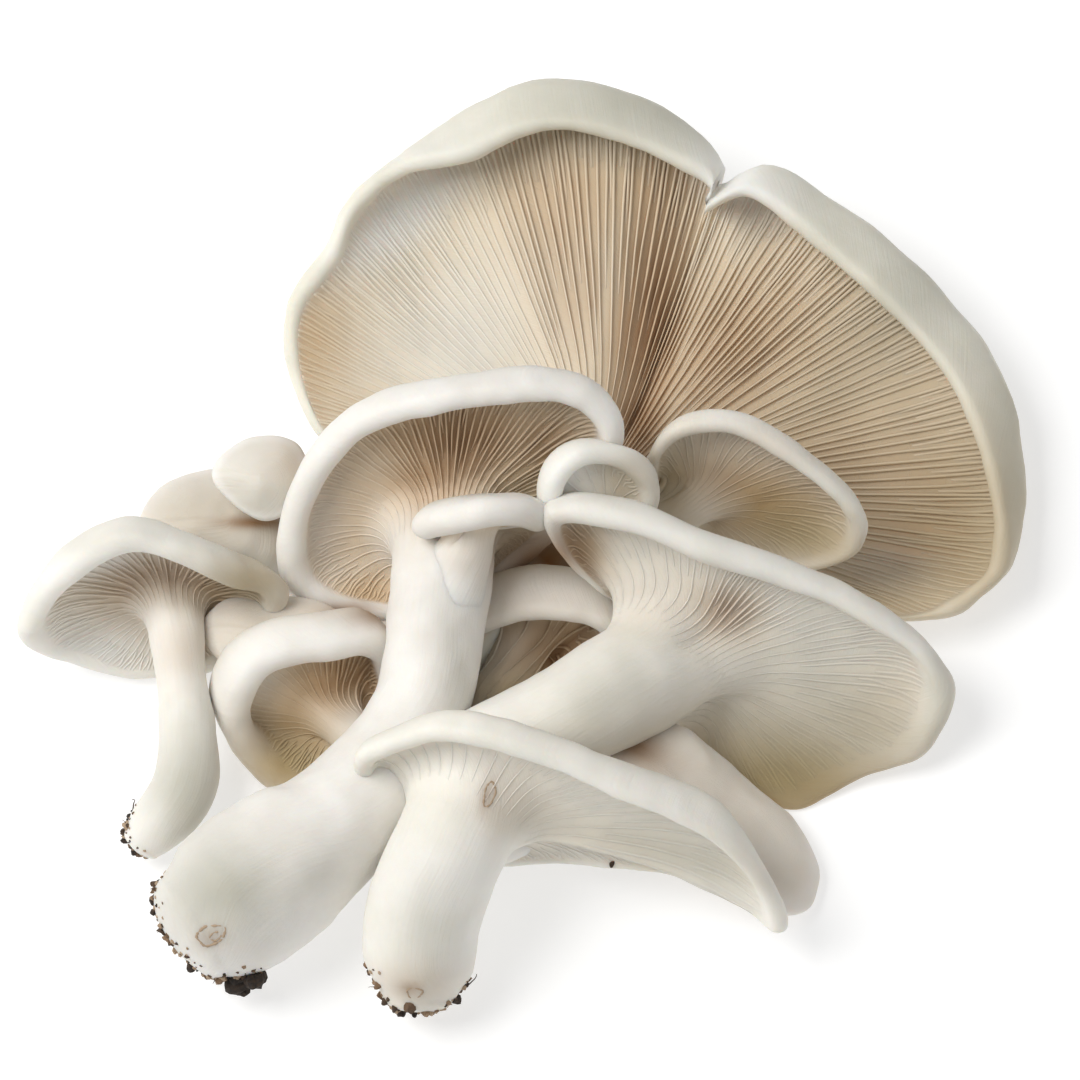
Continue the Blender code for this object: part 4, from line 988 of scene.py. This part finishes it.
def add_skin(name, skin, finish):
    """The flesh of one mushroom."""
    strides = []
    thick = 2 if skin.columns < WIDE_SKIN else 4
    for row in range(skin.rows):
        if row < skin.first_fillet - 1:
            strides.append(thick if row < skin.first_fillet - 2 else 2)
        elif row < skin.first_top + 2:
            strides.append(1)
        else:
            strides.append(2)
    kept, faces = skin_faces(skin, strides)
    places = skin.places.reshape(-1, 3)[kept]
    verts = np.vstack([places, skin.foot, skin.crown])
    width = np.linalg.norm(np.roll(skin.outer, -1, 1) - skin.outer, axis=2)
    around = np.cumsum(width, axis=1)
    steps = np.linalg.norm(np.diff(skin.outer, axis=0, prepend=skin.outer[:1]), axis=2)
    upward = np.cumsum(steps, axis=0).mean(axis=1, keepdims=True) * np.ones(skin.columns)
    grain = np.stack([around, upward, 0 * around], axis=2).reshape(-1, 3)[kept]
    ends = [0.0, 0.0]
    masks = tint_masks(verts, np.append(skin.face.reshape(-1)[kept], ends), LOOKS[name])
    # The pressed share, which the flesh paints as shade between the gills.
    masks["gills"] = np.append(skin.pressed.reshape(-1)[kept], ends)
    masks["top"] = TOP_TONE * np.append(skin.top.reshape(-1)[kept], [0.0, 1.0])
    masks["grain"] = np.vstack([grain, grain[:1], grain[-1:]])
    return mesh_object(f"{name}_flesh", verts, faces, finish, masks)


def blade_rows(rng, skin, run, tier):
    """The rows of a skin that one blade spans."""
    begin = skin.first_fillet - rng.integers(*run)
    if tier == 1:
        begin = skin.first_under + rng.integers(*MIDDLE_START)
    if tier == 2:
        begin = skin.first_under + rng.integers(*SHORT_START)
    end = skin.first_lip - 1 - rng.integers(*BLADE_STOP)
    return np.unique(np.append(np.arange(begin, end, 2), end))


def blade_section(rng, skin, rows, index, slots, tier):
    """The four corners of a blade in each of its rows, and the column that it follows."""
    begin, end = rows[0], rows[-1]
    share = (rows - begin) / (end - begin)
    waver = BLADE_WAVER * np.sin(share * rng.uniform(4, 9) + rng.uniform(0, 6)) * smooth(share * 3)
    column = (index + rng.uniform(-BLADE_SHIFT, BLADE_SHIFT) + waver) * slots
    low = np.floor(column).astype(int)
    part = (column - low)[:, None]
    low, high = low % skin.columns, (low + 1) % skin.columns
    base = (1 - part) * skin.places[rows, low] + part * skin.places[rows, high]
    edge = (1 - part) * skin.outer[rows, low] + part * skin.outer[rows, high]
    out = unit((1 - part) * skin.normals[rows, low] + part * skin.normals[rows, high])
    beside = skin.places[rows, high] - skin.places[rows, low]
    across = unit(beside)
    spacing = slots * np.linalg.norm(beside, axis=1)
    openness = skin.open[rows, low]
    proud = (0.05 + 0.10 * openness) * rng.uniform(0.6, 1.3)
    ease = smooth((rows - begin) / (7 if tier else 12))[:, None]
    height = rng.uniform(0.8, 1.0) if tier else rng.uniform(0.92, 1.04)
    taper = smooth((end - rows) / 5)[:, None]
    tip = base + (edge - base) * height * ease
    tip = tip + out * (proud[:, None] * ease * taper - BLADE_SINK)
    lean = rng.uniform(-BLADE_LEAN, BLADE_LEAN)
    tip = tip + across * lean * ease * skin.pressed[rows, low][:, None]
    base = base - out * BLADE_ROOT
    wide = (1 - openness) * rng.uniform(0.85, 1.1)
    half = np.minimum(0.20 + 0.16 * wide, (0.26 + 0.12 * wide) * spacing)[:, None]
    fine = np.minimum(0.11 + 0.12 * wide, (0.16 + 0.10 * wide) * spacing)[:, None]
    corners = [base - half * across, tip - fine * across, tip + fine * across, base + half * across]
    return np.stack(corners, axis=1), low


def add_gills(name, skin, count, finish, seed):
    """A thin blade for each gill, standing on the pressed gill side up to the outer surface."""
    rng = np.random.default_rng(seed)
    look = LOOKS[name]
    shade = np.array([1.0, EDGE_SHADE, EDGE_SHADE, 1.0])
    verts, faces, pressed, face = [], [], [], []
    for index in range(count):
        tier = TIERS[index % len(TIERS)]
        rows = blade_rows(rng, skin, look["run"], tier)
        section, low = blade_section(rng, skin, rows, index, skin.columns / count, tier)
        first = len(verts)
        verts.extend(section.reshape(-1, 3))
        for a in range(first, first + 4 * (len(rows) - 1), 4):
            for side in range(4):
                following = (side + 1) % 4
                faces.append((a + side, a + following, a + 4 + following, a + 4 + side))
        last = first + 4 * (len(rows) - 1)
        faces.append((first + 3, first + 2, first + 1, first))
        faces.append((last, last + 1, last + 2, last + 3))
        pressed.extend((skin.pressed[rows, low][:, None] * shade).ravel())
        face.extend(np.repeat(skin.face[rows, low], 4))
    verts = np.array(verts)
    masks = tint_masks(verts, np.array(face), look)
    # The pressed share, less at the blades' edges, which the flesh paints as shade between the gills.
    masks["gills"] = pressed
    return mesh_object(f"{name}_gills", verts, faces, finish, masks)


def grain_mesh(rng, centre, radius):
    """A small broken grain: a rough ball, squeezed and chipped."""
    ball = bmesh.new()
    bmesh.ops.create_icosphere(ball, subdivisions=2 if radius > 0.6 else 1, radius=1)
    verts = np.array([vert.co for vert in ball.verts])
    faces = [[vert.index for vert in face.verts] for face in ball.faces]
    ball.free()
    squeeze = rng.uniform(0.55, 1.25, 3)
    chips = 1 + 0.28 * swell(verts, 1.1, rng.integers(10**6)) + rng.uniform(-0.12, 0.12, len(verts))
    spun = unit(rng.normal(size=3))
    return centre + radius * turn(verts * chips[:, None] * squeeze, np.array([0, 0, 1.0]), spun), faces


def tube_mesh(path, radii, closed=False, sides=6):
    """A thin tube along a path, with its ends closed."""
    around = np.roll(path, -1, 0) - np.roll(path, 1, 0)
    if not closed:
        around = np.gradient(path, axis=0)
    ways = unit(around)
    side = unit(np.cross(ways, [0.31, 0.17, 0.93]))
    other = np.cross(ways, side)
    angles = np.arange(sides) * 2 * math.pi / sides
    ring = np.cos(angles)[:, None] * side[:, None] + np.sin(angles)[:, None] * other[:, None]
    verts = (path[:, None] + np.asarray(radii)[:, None, None] * ring).reshape(-1, 3)
    count = len(path)
    faces = []
    for row in range(count if closed else count - 1):
        for k in range(sides):
            a, b = row * sides, (row + 1) % count * sides
            faces.append((a + k, a + (k + 1) % sides, b + (k + 1) % sides, b + k))
    if not closed:
        faces.append(tuple(reversed(range(sides))))
        faces.append(tuple(range((count - 1) * sides, count * sides)))
    return verts, faces


def hair_mesh(rng, start, way, length, radius):
    """A fine wiry hair that bends as it goes and thins to its tip."""
    steps = 9
    way = unit(np.array(way, float))
    path = [start - 0.4 * way]
    for _ in range(steps):
        way = unit(way + rng.normal(scale=0.22, size=3))
        path.append(path[-1] + way * length / steps)
    return tube_mesh(np.array(path), radius * np.linspace(1, 0.35, steps + 1))


def joined(parts):
    """One list of places, faces and tones from parts of (places, faces, tone)."""
    places, faces, tones = [], [], []
    first = 0
    for verts, polygons, tone in parts:
        places.append(verts)
        faces += [[first + corner for corner in polygon] for polygon in polygons]
        tones += [tone] * len(verts)
        first += len(verts)
    return np.vstack(places), faces, tones


def add_crumbs(name, foot, skin, finish, seed):
    """The grains, chunks and hairs of growing medium that cling to the edge of one foot."""
    rng = np.random.default_rng(seed)
    rows = skin.first_stem + EDGE_ROWS
    places = skin.outer[:rows].reshape(-1, 3)
    facing = skin.normals[:rows].reshape(-1, 3)[:, 2]
    off = places[:, :2] - foot["middle"]
    angle = np.degrees(np.arctan2(off[:, 1], off[:, 0])) % 360
    reach = np.linalg.norm(off, axis=1)

    def at_edge(wanted, band):
        near = (np.abs(angle - wanted) < EDGE_DEGREES) & (facing > EDGE_FACING)
        edge = reach[near].max()
        return places[rng.choice(np.flatnonzero(near & (reach > edge - band)))]

    parts = []
    least, greatest = GRAIN_SIZES
    for wanted in rng.uniform(*foot["angles"], foot["grains"]):
        size = least + (greatest - least) * rng.uniform() ** 2.6
        where = at_edge(wanted, foot["band"] * rng.uniform() ** 1.5 + 0.3)
        parts.append((*grain_mesh(rng, where, size), rng.uniform() ** 1.3))
    for wanted, out, size in foot["chunks"]:
        where = at_edge(wanted, 0.4)
        outward = np.array([math.cos(math.radians(wanted)), math.sin(math.radians(wanted)), 0])
        parts.append((*grain_mesh(rng, where + out * outward, size), 0.1 * rng.uniform()))
    for wanted, way, length, radius in foot["hairs"]:
        parts.append((*hair_mesh(rng, at_edge(wanted, 0.3), way, length, radius), HAIR_TONE))
    verts, faces, tones = joined(parts)
    return mesh_object(f"{name}_grains", verts, faces, finish, dict(tone=tones), smooth_shaded=False)


def on_skin(skin, spots):
    """The places on a skin that the viewer sees at each (x, v)."""
    seen = skin.normals[..., 2] > 0.1
    places = skin.places[seen]
    found = []
    for spot in spots:
        distance = np.linalg.norm(places[:, :2] - spot, axis=1)
        nearest = np.argsort(distance)[:4]
        weights = 1 / (distance[nearest] + 0.05)
        found.append((*spot, weights @ places[nearest, 2] / weights.sum()))
    return np.array(found)


def scar_mesh(rng, skin, oval):
    """A thin broken ring that lies half in the flesh."""
    x, v, half_width, half_height, turned, radius = oval
    around = np.linspace(0, 2 * math.pi, 40, endpoint=False)
    wobble = 1 + 0.07 * np.sin(3 * around + 1) + 0.05 * np.sin(5 * around)
    a, b = half_width * wobble * np.cos(around), half_height * wobble * np.sin(around)
    angle = math.radians(turned)
    spots = np.stack([x + a * math.cos(angle) - b * math.sin(angle),
                      v + a * math.sin(angle) + b * math.cos(angle)], axis=1)
    path = on_skin(skin, spots) - np.array([0, 0, 0.55 * radius])
    path[:, 2] = sum(np.roll(path[:, 2], step) for step in range(-3, 4)) / 7
    return tube_mesh(path, radius * rng.uniform(0.6, 1.15, len(path)), closed=True)


def add_marks(skins, finish):
    """The old scars, and the loose bit with its hair."""
    rng = np.random.default_rng(MARK_SEED)
    marks = [(*scar_mesh(rng, skins[name], oval), SCAR_TONE) for name, oval in SCARS]
    bit = on_skin(skins["mushroom_front_low"], [LOOSE_BIT])[0]
    marks.append((*grain_mesh(rng, bit, BIT_RADIUS), BIT_TONE))
    marks.append((*hair_mesh(rng, bit, *BIT_HAIR), HAIR_TONE))
    verts, faces, tones = joined(marks)
    return mesh_object("scars_and_bit", verts, faces, finish, dict(tone=tones))


def grit_material():
    """Growing medium: black to brown grains, some of them chips of dry pale flesh."""
    made = bpy.data.materials.new("growing medium")
    made.use_nodes = True
    tree = made.node_tree
    shader = tree.nodes["Principled BSDF"]
    tone = linked(tree, "ShaderNodeAttribute", (-900, 200), attribute_name="tone").outputs["Fac"]
    place = linked(tree, "ShaderNodeTexCoord", (-1100, -100)).outputs["Object"]
    specks = linked(
        tree, "ShaderNodeTexNoise", (-900, -100), Vector=place, Scale=GRIT_SPECKS, Detail=4.0,
        Roughness=0.65,
    ).outputs["Fac"]
    stirred = linked(
        tree, "ShaderNodeMath", (-650, 150), operation="MULTIPLY_ADD", i0=specks, i1=0.5, i2=tone,
    ).outputs["Value"]
    ramp = linked(tree, "ShaderNodeValToRGB", (-450, 200), Fac=stirred)
    stops = ramp.color_ramp.elements
    for index, (position, colour) in enumerate(GRIT_COLOURS):
        stop = stops[index] if index < 2 else stops.new(position)
        stop.position = position
        stop.color = (*colour, 1)
    tree.links.new(ramp.outputs["Color"], shader.inputs["Base Color"])
    bump = linked(
        tree, "ShaderNodeBump", (-300, -200), Strength=GRIT_STRENGTH, Distance=GRIT_DEPTH, Height=specks,
    )
    tree.links.new(bump.outputs["Normal"], shader.inputs["Normal"])
    rough = linked(
        tree, "ShaderNodeMapRange", (-450, -50), i0=specks, i3=GRIT_ROUGHNESS[0], i4=GRIT_ROUGHNESS[1],
    )
    tree.links.new(rough.outputs["Result"], shader.inputs["Roughness"])
    return made


def linked(tree, kind, place, **values):
    """A node with its values set, and with its inputs linked where a value is a socket."""
    node = tree.nodes.new(kind)
    node.location = place
    for key, value in values.items():
        if key in node.bl_rna.properties:
            setattr(node, key, value)
            continue
        socket = node.inputs[int(key[1:])] if key[1:].isdigit() else node.inputs[key.replace("_", " ")]
        if isinstance(value, bpy.types.NodeSocket):
            tree.links.new(value, socket)
        else:
            socket.default_value = value
    return node


def effect_group(name, scales, masks):
    """An empty node group that takes these scales and puts out these masks, with its two ends."""
    group = bpy.data.node_groups.new(name, "ShaderNodeTree")
    for label, value in scales.items():
        socket = group.interface.new_socket(label, in_out="INPUT", socket_type="NodeSocketFloat")
        socket.default_value = value
    for label in masks:
        group.interface.new_socket(label, in_out="OUTPUT", socket_type="NodeSocketFloat")
    return group, group.nodes.new("NodeGroupInput").outputs, group.nodes.new("NodeGroupOutput").inputs


def mottle_group():
    """Soft patches over the flesh, and the fine pores between them."""
    scales = {"Patch scale": PATCH_SCALE, "Pore scale": PORE_SCALE}
    group, into, out = effect_group("mottled flesh", scales, ("Patches", "Pores"))
    place = linked(group, "ShaderNodeTexCoord", (-800, 0)).outputs["Object"]
    patches = linked(
        group, "ShaderNodeTexNoise", (-500, 200), Vector=place, Scale=into["Patch scale"],
        Detail=4.0, Roughness=0.55,
    )
    spread = linked(
        group, "ShaderNodeMapRange", (-250, 200), i0=patches.outputs["Fac"],
        i1=PATCH_RANGE[0], i2=PATCH_RANGE[1],
    )
    pores = linked(
        group, "ShaderNodeTexNoise", (-500, -200), Vector=place, Scale=into["Pore scale"],
        Detail=3.0, Roughness=0.6,
    )
    group.links.new(spread.outputs["Result"], out["Patches"])
    group.links.new(pores.outputs["Fac"], out["Pores"])
    return group


def fibre_group():
    """Long fibres that run up the stem and out along the cap."""
    scales = {"Across": FIBRE_SCALE[0], "Along": FIBRE_SCALE[1]}
    group, into, out = effect_group("long fibres", scales, ["Fibres"])
    grain = linked(group, "ShaderNodeAttribute", (-900, 0), attribute_name="grain")
    scale = linked(group, "ShaderNodeCombineXYZ", (-700, -200), X=into["Across"], Y=into["Along"])
    stretched = linked(
        group, "ShaderNodeVectorMath", (-500, 0), operation="MULTIPLY",
        i0=grain.outputs["Vector"], i1=scale.outputs["Vector"],
    )
    noise = linked(
        group, "ShaderNodeTexNoise", (-250, 0), Vector=stretched.outputs["Vector"], Scale=1.0,
        Detail=3.0, Roughness=0.6,
    )
    group.links.new(noise.outputs["Fac"], out["Fibres"])
    return group


def flesh_material(name, groups, colours, fibred):
    """Fresh mushroom flesh: soft, a little translucent, with browner painted shade between the gills and
    tints of painted shade and painted light.
    """
    made = bpy.data.materials.new(name)
    made.use_nodes = True
    tree = made.node_tree
    shader = tree.nodes["Principled BSDF"]
    mottle, fibre = groups

    def mask(attribute, place):
        return linked(tree, "ShaderNodeAttribute", place, attribute_name=attribute).outputs["Fac"]

    def blend(place, factor, first, second, kind="MIX"):
        node = linked(tree, "ShaderNodeMix", place, data_type="RGBA", blend_type=kind, i0=factor)
        for index, value in ((6, first), (7, second)):
            if isinstance(value, bpy.types.NodeSocket):
                tree.links.new(value, node.inputs[index])
            else:
                node.inputs[index].default_value = (*value, 1)
        return node.outputs[2]

    patches = linked(tree, "ShaderNodeGroup", (-1200, 300), node_tree=mottle)
    gills = mask("gills", (-1200, 0))
    brown = mask("brown", (-1200, -200))
    tinted = blend((-1000, 300), patches.outputs["Patches"], colours["skin"], colours["shade"])
    # The gill side, the caps' tops and then the tints over the skin in turn; the tints are mostly painted
    # shade, and the pale one partly painted light.
    for step, colour in enumerate(("face", "top", *TINTS)):
        over = mask(colour, (-1200, -300 - 100 * step))
        tinted = blend((-950 + 80 * step, 300), over, tinted, colours[colour])
    # Painted shade: darker where the gill side is pressed in, and edge colour and brown shade in open
    # gills.
    shaded = blend((-450, 0), gills, tinted, colours["gill"], "MULTIPLY")
    open_gills = blend((-450, -100), gills, colours["edge"], colours["brown"])
    whole = blend((-300, 200), brown, shaded, open_gills)
    tree.links.new(whole, shader.inputs["Base Color"])
    height = patches.outputs["Pores"]
    if fibred:
        fibres = linked(tree, "ShaderNodeGroup", (-1200, -600), node_tree=fibre)
        height = linked(
            tree, "ShaderNodeMath", (-700, -500), operation="MULTIPLY_ADD",
            i0=fibres.outputs["Fibres"], i1=FIBRE_HEIGHT, i2=height,
        ).outputs["Value"]
    bump = linked(
        tree, "ShaderNodeBump", (-350, -300), Strength=PORE_STRENGTH, Distance=PORE_DEPTH, Height=height,
    )
    tree.links.new(bump.outputs["Normal"], shader.inputs["Normal"])
    rough = linked(
        tree, "ShaderNodeMapRange", (-700, -200), i0=patches.outputs["Patches"],
        i3=FLESH_ROUGHNESS[0], i4=FLESH_ROUGHNESS[1],
    )
    tree.links.new(rough.outputs["Result"], shader.inputs["Roughness"])
    shader.inputs["Subsurface Weight"].default_value = FLESH_GLOW if fibred else BLADE_GLOW
    shader.inputs["Subsurface Radius"].default_value = GLOW_RADIUS
    shader.inputs["Subsurface Scale"].default_value = GLOW_SCALE
    shader.inputs["Specular IOR Level"].default_value = FLESH_SPECULAR
    return made


def area_light(name, place, size, power, colour):
    """A soft square light that faces the cluster."""
    light = bpy.data.lights.new(name, "AREA")
    light.size = size
    light.energy = power
    light.color = colour
    made = bpy.data.objects.new(name, light)
    made.location = place
    toward = np.array(LIGHT_TARGET) - np.array(place)
    made.rotation_euler = (
        math.atan2(math.hypot(toward[0], toward[1]), -toward[2]), 0,
        math.atan2(toward[1], toward[0]) - math.pi / 2,
    )
    bpy.context.scene.collection.objects.link(made)


def add_floor():
    """A pale floor that glows a little, as the photograph's white ground does."""
    half = FLOOR_HALF
    mesh = bpy.data.meshes.new("floor")
    mesh.from_pydata(
        [(-half, -half, 0), (half, -half, 0), (half, half, 0), (-half, half, 0)], [], [(0, 1, 2, 3)],
    )
    floor = bpy.data.objects.new("floor", mesh)
    floor.location.z = -FLOOR_DROP
    bpy.context.scene.collection.objects.link(floor)
    pale = bpy.data.materials.new("pale floor")
    pale.use_nodes = True
    shader = pale.node_tree.nodes["Principled BSDF"]
    shader.inputs["Base Color"].default_value = FLOOR_COLOUR
    shader.inputs["Roughness"].default_value = FLOOR_ROUGHNESS
    shader.inputs["Emission Color"].default_value = (1, 1, 1, 1)
    shader.inputs["Emission Strength"].default_value = FLOOR_GLOW
    mesh.materials.append(pale)


def add_studio():
    """Soft light from the upper left, a pale sky and the camera of the photograph."""
    scene = bpy.context.scene
    for name, light in LIGHTS.items():
        area_light(name, *light)
    sky = bpy.data.worlds.new("pale studio")
    sky.use_nodes = True
    sky.node_tree.nodes["Background"].inputs["Color"].default_value = (1, 1, 1, 1)
    sky.node_tree.nodes["Background"].inputs["Strength"].default_value = SKY_STRENGTH
    scene.world = sky
    scene.view_settings.view_transform = "Standard"
    lens = bpy.data.cameras.new("camera")
    lens.lens = CAMERA_LENS
    lens.sensor_width = CAMERA_SENSOR
    lens.clip_end = CAMERA_CLIP
    camera = bpy.data.objects.new("camera", lens)
    target = world([CAMERA_TARGET])[0]
    away = np.array([0, -math.sin(LEAN), math.cos(LEAN)])
    camera.location = target + CAMERA_DISTANCE * away
    camera.rotation_euler = (LEAN, 0, 0)
    scene.collection.objects.link(camera)
    scene.camera = camera


def main():
    """Grows every mushroom, scatters the growing medium and sets the studio."""
    groups = mottle_group(), fibre_group()
    skins = {}
    for number, (name, piece, columns, gills, slot) in enumerate(CLUSTER):
        skin = Skin(piece, columns, LOOKS[name])
        skin.roughen(SKIN_SEED + 2 * number)
        skins[name] = skin
        colours = FINISHES[slot]
        flesh = flesh_material(f"{name} flesh", groups, colours, fibred=True)
        pieces = [add_skin(name, skin, flesh)]
        if gills:
            blades = flesh_material(f"{name} gills", groups, colours, fibred=False)
            pieces.append(add_gills(name, skin, gills, blades, number))
        for made in pieces:
            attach(made, "root")
            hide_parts(name)
    grit = grit_material()
    for number, (name, foot) in enumerate(FEET.items()):
        made = add_crumbs(name, foot, skins[foot["foot"]], grit, CRUMB_SEED + number)
        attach(made, "root")
        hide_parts(name)
    made = add_marks(skins, grit)
    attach(made, "root")
    add_floor()
    add_studio()


main()
